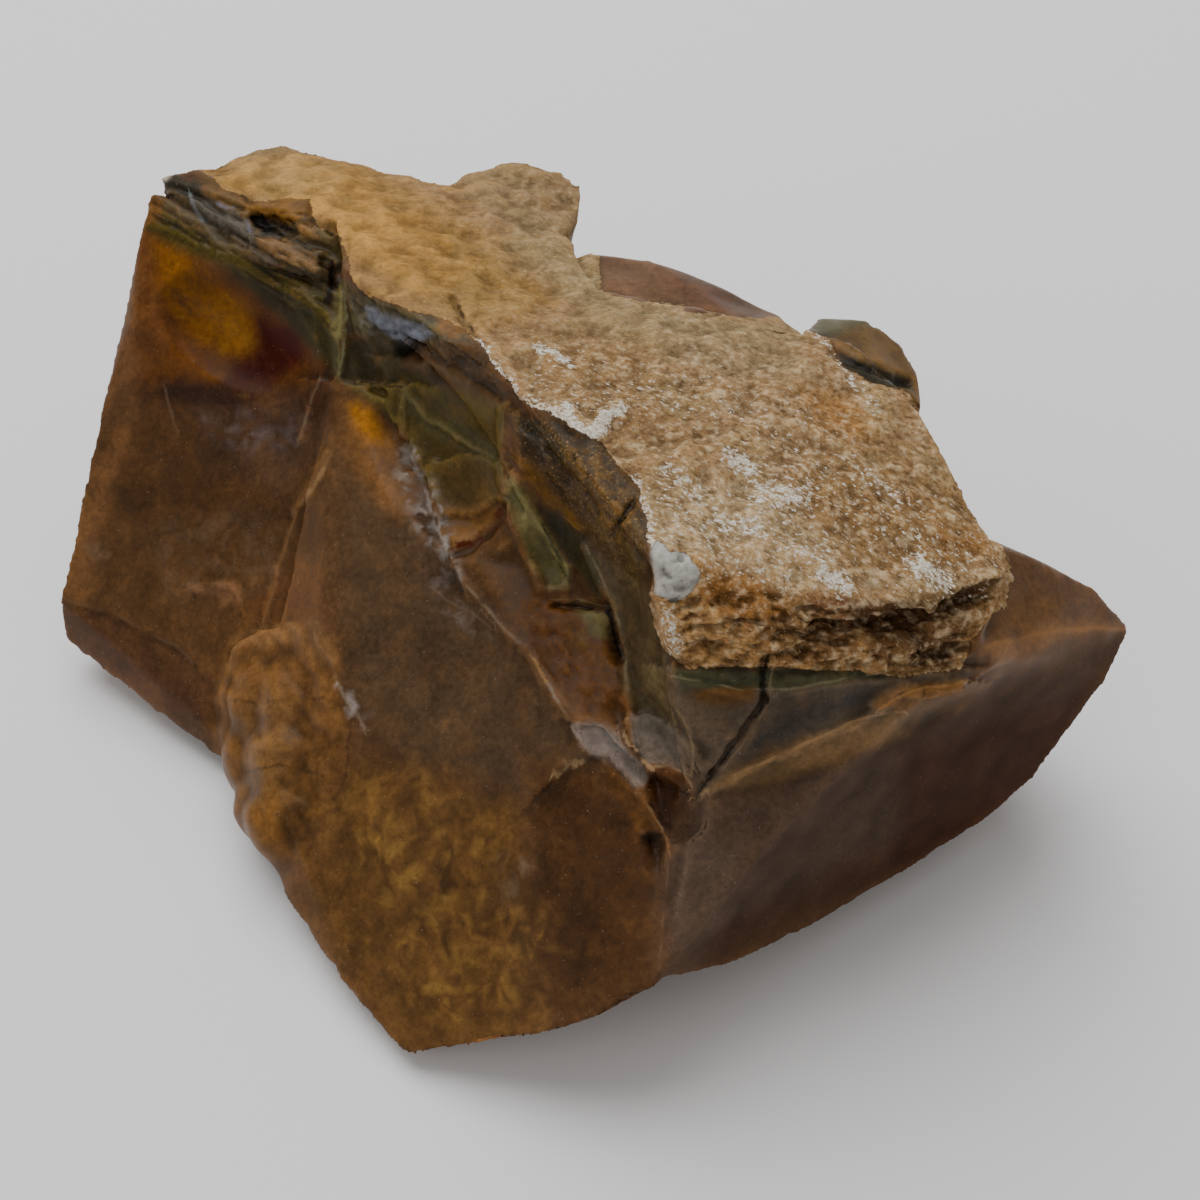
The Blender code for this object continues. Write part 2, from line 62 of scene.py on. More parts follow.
MM = 0.001
NODE = "tiger_eye_chunk"
SHIFT = Vector((3.3, -2.8, 0.0))    # puts the middle of the footprint on the origin
MIDDLE = Vector((0.0, 0.0, 20.0))   # a point well inside, which every scar faces away from
GRID = 0.32                         # mm, the grid that the stone is resampled on
TRIANGLES = 196000                  # how many the finished stone has
FLAT = 0.4                          # mm, what lies lower than this is pressed flat at z = 0
SCAR_RIM = 1.12                     # how far a bowl runs on past its rim points
SCAR_SKY = 40.0                     # mm, how far a bowl's cutter stands out of the stone
SCAR_RINGS, SCAR_TURNS = 14, 96     # the steps that a bowl is turned in
CAD_GAP = 0.01                      # mm, how far the stone stays inside the CAD box

VIEW_TARGET = Vector((0.0, 0.0, 20.0))   # mm
VIEW_DISTANCE = 190.0                     # mm
VIEW_ELEVATION = math.radians(47.0)
VIEW_HALF = 56.0                          # mm, half of what the picture spans at the target
PICTURE = 1200.0                          # px
VIEW_BACK = Vector((0.0, -math.cos(VIEW_ELEVATION), math.sin(VIEW_ELEVATION)))
VIEW_RIGHT = Vector((1.0, 0.0, 0.0))
VIEW_UP = VIEW_BACK.cross(VIEW_RIGHT)
VIEW_FROM = VIEW_TARGET + VIEW_BACK * VIEW_DISTANCE
SEEN_GAP = 0.25                           # mm, how far short of a point its line of sight ends

# --- masses: each is the convex block round its corners -------------------------------------

MASSES = {
    "left_mass": dict(foot=(-54.8, 9.2, 4.0), foot_top=(-54.5, 10.6, 9.0),
        foot_2=(-50.8, 7.0, 3.5), foot_3=(-45.2, 3.7, 3.5), foot_4=(-39.6, -0.9, 3.5),
        band_2=(-49.3, 8.5, 8.5), band_3=(-41.6, 3.8, 9.0), band_4=(-37.7, 0.1, 7.0),
        edge_low=(-50.7, 16.0, 18.0), edge_mid=(-47.0, 22.5, 27.0), edge_high=(-45.6, 27.0, 31.0),
        edge_top=(-45.4, 34.6, 36.5), tip_front=(-44.4, 37.0, 39.0), layer_mid=(-35.0, 26.1, 38.0),
        layer_right=(-24.9, 17.4, 36.0), layer_top_1=(-33.7, 31.6, 41.0),
        layer_top_2=(-25.2, 27.0, 41.5), ridge_1=(-24.8, 15.6, 33.2), ridge_2=(-24.9, 6.4, 23.5),
        ridge_3=(-24.6, 2.7, 19.8), ridge_4=(-25.1, -0.2, 16.5), ridge_foot=(-30.0, -4.0, 7.0),
        back_foot=(-43.0, 28.0, 3.5), back_tip=(-40.0, 41.0, 34.0), base_1=(-18.0, -20.0, 0.0),
        base_2=(-26.0, -4.0, 0.0), base_3=(-28.0, 12.0, 0.0), base_4=(-14.0, 22.0, 0.0),
        base_5=(0.0, 10.0, 0.0), inner_top=(-15.0, 20.0, 38.0)),
    "flank_mass": dict(front_tip=(-17.1, -37.8, 2.0), front_edge_1=(-13.8, -37.9, 3.8),
        front_edge_2=(-7.6, -38.9, 7.2), front_edge_3=(-3.4, -39.6, 9.4),
        front_edge_4=(0.0, -39.6, 11.6), front_edge_5=(3.3, -38.6, 14.2),
        prow_tip=(5.3, -38.4, 15.4), prow_low=(5.7, -33.4, 19.3), prow_mid=(6.3, -31.4, 21.6),
        prow_high=(7.4, -29.2, 24.4), left_foot_1=(-34.3, -11.2, 3.6),
        left_foot_2=(-32.4, -15.6, 3.6), left_foot_3=(-28.8, -22.0, 3.6),
        left_foot_4=(-23.3, -30.0, 2.9), shoulder_1=(-27.2, -20.5, 8.0),
        shoulder_2=(-24.9, -11.6, 16.0), shoulder_3=(-23.6, -8.5, 18.8),
        ridge_top=(-25.2, 16.4, 32.8), ridge_mid=(-24.5, 4.3, 25.1), ridge_low=(-24.0, -0.4, 22.3),
        under_wall_1=(-5.0, 3.0, 36.3), under_wall_2=(8.0, -14.0, 33.0),
        under_wall_3=(10.0, -24.0, 28.0), base_1=(-26.0, -4.0, 0.0), base_2=(-18.0, -20.0, 0.0),
        base_3=(0.0, -19.0, 0.0), base_4=(14.0, -12.0, 0.0), base_5=(-14.0, 16.0, 0.0),
        inner_back=(10.0, 10.0, 20.0)),
    "knobbly_mass": dict(rim_1=(-35.6, 0.8, 12.9), rim_2=(-32.8, 1.2, 14.8),
        rim_3=(-28.0, -0.6, 17.2), rim_4=(-24.2, -5.0, 19.1), right_1=(-21.4, -11.8, 16.0),
        right_2=(-21.6, -16.0, 13.0), right_3=(-23.4, -18.8, 10.2), right_4=(-26.0, -21.2, 7.0),
        swell_1=(-31.2, -6.9, 12.8), swell_2=(-27.6, -8.0, 14.6), swell_3=(-27.4, -12.4, 11.8),
        swell_4=(-29.8, -13.8, 8.8), foot_1=(-37.4, -1.4, 8.0), foot_2=(-36.8, -5.0, 3.6),
        foot_3=(-34.6, -10.8, 3.6), foot_4=(-32.6, -15.5, 3.6), foot_5=(-29.2, -21.0, 3.8),
        inner_1=(-20.0, 2.0, 6.0), inner_2=(-20.0, -14.0, 6.0)),
    "rind_tip": dict(left_tip=(-43.4, 38.3, 40.2), left_front=(-33.7, 32.0, 41.5),
        inner_corner=(-25.2, 29.0, 42.5), inside=(-16.0, 27.0, 41.4), back_5=(-15.9, 39.2, 39.0),
        back_6=(-32.5, 45.2, 39.5), under_tip=(-42.0, 38.0, 34.0), under_back=(-31.0, 42.0, 33.0),
        under_front=(-26.0, 25.0, 37.0), under_front_left=(-36.5, 30.0, 36.0),
        under_inside=(-14.0, 34.0, 32.0)),
    "rind_middle": dict(inner_corner=(-25.2, 29.0, 42.5), edge_1=(-23.6, 20.2, 43.0),
        edge_2=(-14.3, 14.3, 44.0), edge_3=(-10.9, 8.9, 44.5), edge_4=(-6.8, 0.8, 45.0),
        back_3=(-0.2, 19.6, 41.0), back_4=(-2.9, 29.8, 39.0), back_5=(-15.9, 39.2, 39.0),
        under_1=(-22.5, 17.0, 34.0), under_2=(-16.0, 9.0, 33.0), under_3=(-8.0, 0.0, 33.0),
        under_back=(-4.0, 30.0, 26.0), under_left=(-22.0, 28.0, 30.0)),
    "rind_block": dict(edge_2=(-14.3, 14.3, 44.0), edge_3=(-10.9, 8.9, 44.5),
        edge_4=(-6.8, 0.4, 45.0), edge_5=(0.0, -5.8, 45.5), edge_6=(3.2, -11.7, 46.0),
        prow=(4.3, -20.0, 46.0), front_1=(10.9, -20.7, 44.5), front_2=(19.6, -21.4, 42.0),
        front_3=(26.5, -19.6, 41.0), front_corner=(33.6, -14.6, 39.0), right_1=(30.7, -6.0, 40.0),
        right_2=(27.8, 3.0, 41.0), back_1=(22.4, 11.8, 41.5), back_2=(10.9, 15.7, 41.5),
        back_3=(-0.2, 19.6, 41.0), cliff_foot_1=(5.7, -24.5, 38.0),
        cliff_foot_2=(12.6, -24.5, 37.0), cliff_foot_3=(22.6, -22.4, 35.0),
        cliff_foot_4=(30.1, -18.6, 34.5), lip_1=(8.1, -28.4, 27.0), lip_2=(18.8, -26.2, 27.5),
        lip_3=(28.9, -21.5, 30.0), wall_foot_1=(-8.6, -1.5, 30.0), wall_foot_2=(-3.2, -4.6, 26.0),
        wall_foot_3=(2.4, -13.4, 24.0), wall_foot_4=(7.0, -26.0, 24.0),
        under_back_1=(-4.0, 16.0, 24.0), under_back_2=(22.0, 8.0, 24.0),
        under_back_3=(30.0, -6.0, 28.0)),
    "right_mass": dict(prow_top=(8.1, -28.5, 26.8), prow_mid=(6.4, -31.5, 21.4),
        prow_low=(5.8, -33.5, 19.1), prow_tip=(5.4, -38.3, 15.3), edge_1=(8.1, -35.7, 12.0),
        edge_2=(10.8, -33.7, 10.0), edge_3=(15.6, -30.2, 8.0), edge_4=(23.5, -24.9, 6.0),
        edge_5=(31.3, -20.3, 6.0), edge_6=(37.7, -17.7, 7.0), edge_7=(41.5, -15.0, 9.0),
        edge_8=(44.8, -8.4, 15.5), spur=(48.4, -5.2, 22.0), slope_1=(44.3, -5.4, 27.2),
        slope_2=(39.2, -6.6, 31.4), slope_3=(34.0, -8.4, 35.8), lip_right=(30.2, -20.2, 32.0),
        lip_top=(30.4, -18.9, 34.5), lip_mid=(18.8, -26.2, 27.0), back_spur=(42.5, 3.0, 15.0),
        back_foot=(36.0, 4.0, 5.0), back_top=(28.0, -2.0, 34.0), base_1=(0.0, -19.0, 0.0),
        base_2=(14.0, -12.0, 0.0), base_3=(22.0, -2.0, 0.0), base_4=(20.0, 8.0, 0.0),
        base_5=(0.0, 8.0, 0.0), inner=(5.0, -5.0, 10.0), inner_top=(5.0, -10.0, 30.0)),
    "back_mass": dict(shelf_1=(-1.0, 31.0, 36.5), shelf_2=(4.8, 29.2, 37.0),
        shelf_3=(8.9, 27.4, 36.5), shelf_4=(11.7, 24.8, 36.0), shelf_5=(17.0, 21.2, 37.0),
        shelf_front_1=(0.0, 19.0, 39.6), shelf_front_2=(16.0, 13.0, 40.4),
        right_top=(26.0, 4.0, 38.0), waist_1=(-14.0, 41.0, 24.0), waist_2=(12.0, 31.0, 22.0),
        waist_3=(31.0, 13.5, 20.0), waist_4=(40.0, 3.0, 14.0), heel_1=(-20.0, 38.0, 5.0),
        heel_2=(6.0, 32.0, 3.5), heel_3=(26.0, 18.0, 4.0), heel_4=(35.0, 6.0, 5.0),
        base_1=(-28.0, 12.0, 0.0), base_2=(-14.0, 22.0, 0.0), base_3=(4.0, 22.0, 0.0),
        base_4=(20.0, 12.0, 0.0), base_5=(22.0, -2.0, 0.0), base_6=(0.0, 0.0, 0.0),
        inner_left=(-30.0, 30.0, 20.0)),
    "back_left_mass": dict(top_1=(-43.4, 38.6, 36.0), top_2=(-32.0, 44.6, 36.0),
        top_3=(-15.0, 39.4, 37.0), top_4=(-12.0, 28.0, 38.0), front=(-44.0, 33.0, 33.0),
        waist_1=(-45.0, 34.0, 20.0), waist_2=(-30.0, 44.0, 22.0), waist_3=(-10.0, 38.0, 22.0),
        heel_1=(-43.0, 26.0, 4.0), heel_2=(-33.0, 37.0, 4.5), heel_3=(-16.0, 37.0, 4.5),
        base_1=(-28.0, 12.0, 0.0), base_2=(-14.0, 22.0, 0.0), base_3=(0.0, 20.0, 0.0),
        inner=(-10.0, 10.0, 10.0)),
    "layer_ledge": dict(top_left=(-33.6, 28.4, 40.4), top_right=(-26.4, 25.6, 41.0),
        low_left=(-33.6, 26.2, 39.6), low_right=(-26.4, 22.6, 39.8),
        inner_left=(-32.0, 28.6, 36.6), inner_right=(-25.0, 25.0, 36.6)),
    "core": dict(base_1=(-26.0, -4.0, 0.0), base_2=(-18.0, -20.0, 0.0), base_3=(0.0, -19.0, 0.0),
        base_4=(14.0, -12.0, 0.0), base_5=(22.0, -2.0, 0.0), base_6=(20.0, 12.0, 0.0),
        base_7=(4.0, 22.0, 0.0), base_8=(-14.0, 22.0, 0.0), base_9=(-28.0, 12.0, 0.0),
        top_1=(-36.0, 24.0, 26.0), top_2=(-20.0, 12.0, 26.0), top_3=(2.0, -14.0, 23.0),
        top_4=(28.0, -10.0, 28.0), top_5=(20.0, 12.0, 34.0), top_6=(-14.0, 34.0, 34.0),
        front_low=(0.0, -30.0, 9.0)),
    "knob": dict(top_1=(-16.5, 38.4, 38.8), top_2=(-12.0, 40.6, 38.9), top_3=(-8.6, 43.2, 38.6),
        top_4=(-4.0, 42.4, 38.2), top_5=(-1.8, 40.8, 37.4), top_6=(-2.0, 37.0, 37.6),
        top_7=(-3.2, 31.0, 38.6), top_8=(-12.0, 30.0, 40.4), foot_1=(-15.0, 37.0, 29.0),
        foot_2=(-8.0, 38.0, 31.0), foot_3=(-4.0, 34.0, 29.0), foot_4=(-14.0, 30.0, 26.0)),
    "lump": dict(top_1=(20.0, 18.6, 38.6), top_2=(24.6, 18.4, 38.6), top_3=(27.6, 15.3, 38.2),
        top_4=(28.9, 12.0, 37.6), top_5=(28.7, 6.6, 38.0), top_6=(24.6, 9.0, 40.6),
        top_7=(18.0, 12.0, 41.2), foot_1=(21.0, 15.0, 27.0), foot_2=(26.0, 11.0, 28.0),
        foot_3=(27.0, 4.0, 28.0), foot_4=(18.0, 8.0, 24.0)),
}

# --- boulders: rounded lumps, each given by its centre and its three radii ------------------

BOULDERS = {
    "boulder_1": ((-30.4, -3.6, 9.6), (5.6, 5.2, 5.2)),
    "boulder_2": ((-26.8, -4.9, 11.7), (5.7, 5.6, 5.3)),
    "boulder_3": ((-31.0, -7.0, 5.6), (5.6, 5.4, 5.2)),
    "boulder_4": ((-26.9, -9.7, 8.1), (6.4, 6.8, 6.1)),
    "boulder_5": ((-30.2, -12.2, 4.9), (4.6, 4.6, 4.4)),
    "boulder_6": ((-28.4, -15.0, 6.5), (4.7, 4.7, 4.6)),
}

# --- hollows under ledges: convex blocks that are cut away ----------------------------------

HOLLOWS = {
    "wall_trough": dict(start=(-8.8, -3.6, 31.0), floor_1=(-3.5, -4.4, 29.6),
        floor_2=(2.1, -13.2, 27.6), floor_3=(7.4, -25.6, 26.2), wall_1=(-3.5, -2.9, 35.0),
        wall_2=(2.2, -11.9, 34.0), wall_top_1=(-7.0, 0.2, 43.5), wall_top_2=(-0.1, -5.9, 44.0),
        wall_top_3=(3.0, -11.9, 44.5), wall_top_4=(4.0, -20.0, 44.5), rim_1=(-13.4, -2.9, 29.2),
        rim_2=(-7.0, -11.4, 26.9), rim_3=(-3.7, -16.0, 25.6), rim_4=(3.8, -25.0, 24.6),
        rim_5=(6.2, -27.8, 25.4), out_1=(-20.0, -8.0, 44.0), out_2=(-4.0, -32.0, 44.0)),
    "prow_pit": dict(rim_1=(3.5, -24.8, 25.6), rim_2=(5.1, -24.5, 26.7), rim_3=(6.8, -26.8, 27.0),
        rim_4=(5.9, -28.4, 23.9), rim_5=(4.8, -28.9, 23.0), rim_6=(3.2, -25.9, 24.9),
        deep_1=(4.7, -24.5, 24.0), deep_2=(6.6, -25.7, 24.6), floor_1=(6.1, -27.9, 23.2),
        floor_2=(4.9, -28.5, 22.4)),
    "prow_pit_low": dict(rim_1=(3.1, -28.9, 22.6), rim_2=(4.9, -28.8, 23.1),
        rim_3=(5.4, -29.9, 22.9), rim_4=(5.6, -30.8, 22.8), rim_5=(4.7, -32.9, 20.8),
        rim_6=(3.5, -31.1, 21.4), deep_1=(4.2, -28.6, 21.3), deep_2=(5.4, -28.9, 21.4),
        floor=(4.9, -32.4, 20.2)),
    "layer_crevice": dict(mouth_1=(-34.4, 30.4, 41.6), mouth_2=(-28.6, 28.8, 42.0),
        mouth_3=(-34.0, 29.6, 40.3), mouth_4=(-28.9, 27.6, 40.8), deep_1=(-32.6, 32.4, 40.2),
        deep_2=(-29.0, 31.0, 40.4)),
    "fin_slot": dict(mouth_1=(-26.2, 24.4, 42.0), mouth_2=(-24.7, 24.2, 42.2),
        mouth_3=(-26.0, 20.4, 38.6), mouth_4=(-24.8, 20.0, 38.8), deep=(-24.6, 25.6, 38.4)),
    "cliff_slot": dict(roof_1=(13.0, -21.2, 41.4), roof_2=(20.0, -22.6, 41.0),
        roof_3=(27.6, -20.4, 40.2), roof_4=(34.0, -13.4, 38.8), deep_1=(15.6, -19.2, 40.6),
        deep_2=(26.4, -17.0, 39.6), floor_1=(15.0, -23.4, 38.2), floor_2=(21.4, -24.4, 37.0),
        floor_3=(29.2, -21.4, 37.0), floor_4=(33.4, -15.6, 37.6)),
    "cliff_pocket": dict(mouth_1=(23.4, -24.5, 36.8), mouth_2=(31.6, -20.0, 36.2),
        mouth_3=(22.6, -25.4, 34.6), mouth_4=(29.6, -23.2, 31.6), mouth_5=(32.4, -19.6, 33.6),
        deep_1=(25.4, -19.6, 36.2), deep_2=(29.2, -18.0, 34.8)),
    "knob_neck": dict(near_1=(-2.2, 30.0, 41.0), near_2=(-3.6, 35.0, 33.0),
        far_1=(1.0, 36.5, 41.0), far_2=(6.0, 40.0, 41.0), far_3=(6.0, 34.0, 34.5),
        low=(-1.0, 38.0, 26.0)),
}

# --- scars: each an oval bowl: both ends of its rim, a point on its side, and its depth -----

SCARS = {
    "amber_shell": ((-44.8, 29.4, 35.0), (-26.0, 15.8, 32.9), (-36.7, 18.7, 28.6), 3.0),
    "left_panel": ((-45.6, 27.0, 31.0), (-33.0, -1.0, 11.0), (-24.1, 15.4, 33.0), 1.0),
    "left_back": ((-50.6, 20.0, 12.0), (-45.4, 35.0, 32.0), (-44.0, 33.0, 9.0), 0.7),
    "upper_left_hollow": ((-24.4, 17.0, 36.0), (-8.0, -5.0, 30.4), (-14.0, -2.6, 28.4), 2.6),
    "front_right_face": ((5.6, -37.6, 12.0), (46.4, -8.4, 12.0), (19.0, -27.0, 28.6), 1.5),
    "prow_chip_high": ((3.2, -25.6, 25.6), (8.4, -29.0, 25.0), (7.0, -26.2, 28.4), 1.0),
    "back_left": ((-47.0, 27.0, 2.0), (-18.0, 44.5, 31.0), (-44.0, 38.0, 31.0), 2.6),
    "back_middle": ((-20.0, 42.0, 0.0), (12.0, 32.0, 30.0), (14.0, 30.5, 0.0), 2.4),
    "back_right": ((6.0, 33.5, 0.0), (33.0, 13.0, 33.0), (36.0, 10.0, 2.0), 2.6),
    "right_back": ((31.0, 12.0, 22.0), (45.0, -3.0, 17.0), (38.0, 6.5, 7.0), 1.8),
    "right_top_back": ((30.0, 4.0, 36.0), (48.0, -4.6, 21.2), (33.0, 9.0, 22.0), 1.2),
}

# The order in which the masses are joined on and the scars and hollows are taken away.
ORDER = [
    "left_mass", "left_back", "amber_shell", "left_panel", "flank_mass", "knobbly_mass",
    *BOULDERS, "right_mass", "back_mass", "back_left_mass", "core", "back_left", "back_middle",
    "back_right", "right_back", "right_top_back", "rind_tip", "rind_middle", "rind_block",
    "layer_ledge", "knob", "lump", "knob_neck", "layer_crevice", "fin_slot",
    "upper_left_hollow", "wall_trough", "cliff_slot", "cliff_pocket", "front_right_face",
    "prow_chip_high", "prow_pit", "prow_pit_low",
]

# --- outlines and lines in the picture ------------------------------------------------------


def at(*flat):
    """The points of an outline or a line, in px, from x, y, x, y and so on."""
    return list(zip(flat[::2], flat[1::2]))


RIND_OUTLINE = at(200, 148, 280, 138, 340, 148, 440, 178, 510, 158, 585, 180, 582, 215, 568, 240,
    600, 256, 602, 292, 720, 314, 800, 320, 832, 348, 846, 372, 905, 392, 924, 410, 968, 480,
    1014, 572, 1004, 604, 972, 640, 962, 668, 900, 676, 850, 672, 760, 668, 690, 670, 662, 650,
    650, 600, 652, 560, 640, 487, 600, 442, 520, 397, 500, 372, 478, 342, 462, 330, 440, 318,
    400, 306, 372, 300, 352, 280, 346, 256, 342, 237, 322, 230, 312, 217, 310, 199, 290, 199,
    270, 200, 250, 203, 240, 193, 222, 188, 207, 176, 186, 168, 180, 158)
SHELL = at(138, 228, 230, 272, 300, 330, 330, 362, 300, 385, 235, 392, 140, 385)
TROUGH = at(530, 590, 570, 605, 590, 640, 618, 660, 625, 710, 590, 720, 560, 690, 520, 620)
KNOBBLY = at(229, 640, 256, 625, 304, 618, 338, 650, 346, 720, 340, 780, 322, 820, 305, 862,
    240, 850, 205, 720)
LUMP = at(815, 318, 870, 315, 915, 352, 922, 410, 860, 385)
CLIFF = at(655, 590, 740, 586, 850, 606, 935, 600, 1004, 590, 966, 668, 850, 676, 690, 672)
CRYSTALS = at(650, 562, 654, 543, 662, 537, 669, 552, 684, 555, 700, 566, 701, 578, 690, 592,
    679, 602, 667, 601, 655, 596, 648, 584)
MATTE = at(668, 862, 722, 800, 800, 762, 880, 735, 965, 700, 1135, 628, 1150, 650, 1085, 760,
    1045, 820, 850, 930, 665, 1000)
SANDY = at(505, 404, 600, 442, 640, 487, 652, 560, 640, 600, 612, 580, 585, 530, 545, 500,
    516, 456)
GOLD_ZONE = at(330, 800, 420, 770, 510, 830, 560, 930, 540, 1010, 430, 1030, 335, 920)

# name: (height in mm, reach in px, line), raised where the height is positive
RIDGES = {
    "fin": (0.45, 4.5, at(338, 266, 343, 300, 343, 340, 336, 384)),
    "hollow_rib": (0.35, 4, at(404, 384, 402, 434)),
    "hollow_line": (0.3, 4, at(401, 384, 424, 413, 462, 440, 499, 463)),
    "hollow_ridge": (0.4, 5, at(503, 408, 501, 472, 512, 522, 541, 588)),
    "strip_hook": (0.3, 4.5, at(509, 480, 530, 508, 552, 545, 566, 566, 566, 590, 552, 590)),
    "ribbon_left": (0.5, 6, at(587, 547, 612, 600, 624, 638, 630, 708)),
    "flank_border": (0.18, 5, at(449, 562, 499, 622, 553, 684, 587, 747, 641, 797, 664, 834)),
    "border_gold": (0.25, 6, at(528, 650, 536, 664, 545, 682)),
    "crescent": (-0.5, 6, at(453, 553, 470, 546, 488, 532, 500, 512)),
    "trough_crack": (-0.6, 3.5, at(555, 604, 580, 605, 607, 611)),
    "trough_notch": (-1.2, 6, at(606, 606, 612, 630, 619, 656)),
    "wall_crack": (-0.5, 3, at(633, 500, 622, 515, 612, 534)),
    "cliff_crack_top": (-0.7, 4, at(768, 655, 762, 685, 766, 702)),
    "cliff_crack": (-0.5, 3, at(766, 700, 739, 737, 712, 775)),
    "cliff_crack_foot": (-0.3, 2.5, at(714, 772, 694, 798)),
    "cliff_lip": (0.2, 5, at(672, 678, 740, 692, 800, 690, 880, 674, 940, 668)),
    "face_lip": (0.18, 5, at(693, 799, 722, 784, 750, 769, 800, 746, 870, 716)),
    "rind_crack": (-0.35, 3, at(452, 297, 463, 318, 482, 342)),
    "panel_streak": (0.25, 6, at(328, 455, 310, 490, 295, 512)),
    "panel_line": (0.12, 3, at(318, 380, 308, 412, 300, 440)),
    "panel_long_line": (0.12, 3, at(297, 510, 280, 565, 262, 625)),
    "panel_band": (-0.12, 5, at(64, 604, 110, 619, 178, 651, 214, 692)),
    "flake_rim": (0.05, 4, at(186, 590, 206, 582, 232, 584, 240, 600)),
    "lump_crevice": (-0.7, 5, at(832, 350, 850, 360, 880, 370, 908, 382)),
    "tip_crevice": (-0.5, 4, at(250, 217, 268, 221, 292, 231)),
    "layer_rib_1": (0.3, 5, at(176, 190, 214, 216, 256, 234, 300, 262, 330, 276)),
    "layer_rib_2": (0.22, 5, at(158, 208, 200, 234, 250, 256, 300, 290, 334, 324)),
    "pit": (-1.2, 8, at(400, 351, 412, 354)),
    "under_flake": (0.5, 6, at(876, 706, 900, 688, 930, 692, 958, 683)),
    "rind_edge": (0.25, 10, at(480, 345, 510, 385, 548, 412, 580, 430)),
    "rind_squiggle": (0.7, 8, at(565, 410, 580, 430, 597, 432, 604, 418, 620, 410)),
    "rind_blob": (0.5, 14, at(664, 590, 678, 574, 692, 564)),
    "rind_blob_top": (0.4, 9, at(655, 546, 666, 552)),
    "rind_low": (0.3, 8, at(668, 612, 676, 650)),
}

# name: (height in mm, how far it fades in px, line); what is to the right of the line is lowered
STEPS = {
    "ribbon_foot": (0.4, 24, at(694, 750, 671, 728, 648, 710, 630, 717)),
    "green_step": (0.6, 50, at(401, 384, 370, 383, 337, 381)),
    "hollow_edge": (0.5, 50, at(401, 434, 428, 480, 434, 515, 453, 567)),
    "hollow_fold": (0.5, 60, at(503, 405, 470, 384, 440, 364, 403, 359)),
    "gold_step": (0.4, 40, at(503, 466, 470, 452, 432, 462)),
    "gold_low": (0.5, 30, at(437, 512, 470, 516, 500, 498)),
    "flank_chip": (0.35, 60, at(552, 778, 566, 762, 584, 757, 607, 757, 640, 792)),
    "panel_flake": (0.08, 26, at(200, 592, 222, 586, 236, 592, 240, 606)),
    "cliff_foot": (0.5, 36, at(962, 670, 880, 680, 760, 676, 672, 668)),
    "flake_edge": (0.3, 40, at(965, 684, 905, 692, 876, 708)),
    "facet_a": (0.3, 30, at(578, 722, 606, 727, 618, 742, 640, 764)),
    "facet_b": (0.3, 30, at(624, 716, 632, 742, 650, 768)),
    "ledge_top": (0.3, 22, at(322, 254, 290, 240, 256, 236)),
    "brown_block": (0.35, 18, at(312, 216, 276, 214, 246, 212)),
}

# name: (height in mm, length and width of the lumps in px, angle in degrees, octaves, outline)
ROUGH = {
    "crystals": (0.3, 16, 13, 30, 2, CRYSTALS),
    "trough": (0.12, 16, 9, 60, 4, TROUGH),
    "cliff": (0.9, 40, 18, -6, 4, CLIFF),
    "cliff_grain": (0.4, 13, 9, -4, 4, CLIFF),
    "layers": (0.45, 44, 7, 30, 3, at(160, 175, 250, 205, 320, 215, 345, 268, 340, 330, 300, 318,
        230, 262, 145, 226, 148, 200)),
    "upper_wall": (0.35, 22, 14, 40, 4, at(346, 276, 400, 300, 476, 338, 505, 400, 470, 384,
        403, 360, 350, 330)),
    "wall": (0.25, 30, 14, 48, 4, at(505, 400, 600, 442, 640, 487, 652, 560, 630, 600, 600, 540,
        540, 470)),
    "knobbly": (0.32, 34, 24, 60, 2, KNOBBLY),
    "lump": (0.1, 40, 24, 25, 2, LUMP),
    "knob": (0.3, 26, 14, 10, 2, at(440, 182, 510, 160, 585, 180, 575, 240, 500, 222)),
}


def ridge(name):
    return RIDGES[name][-1]


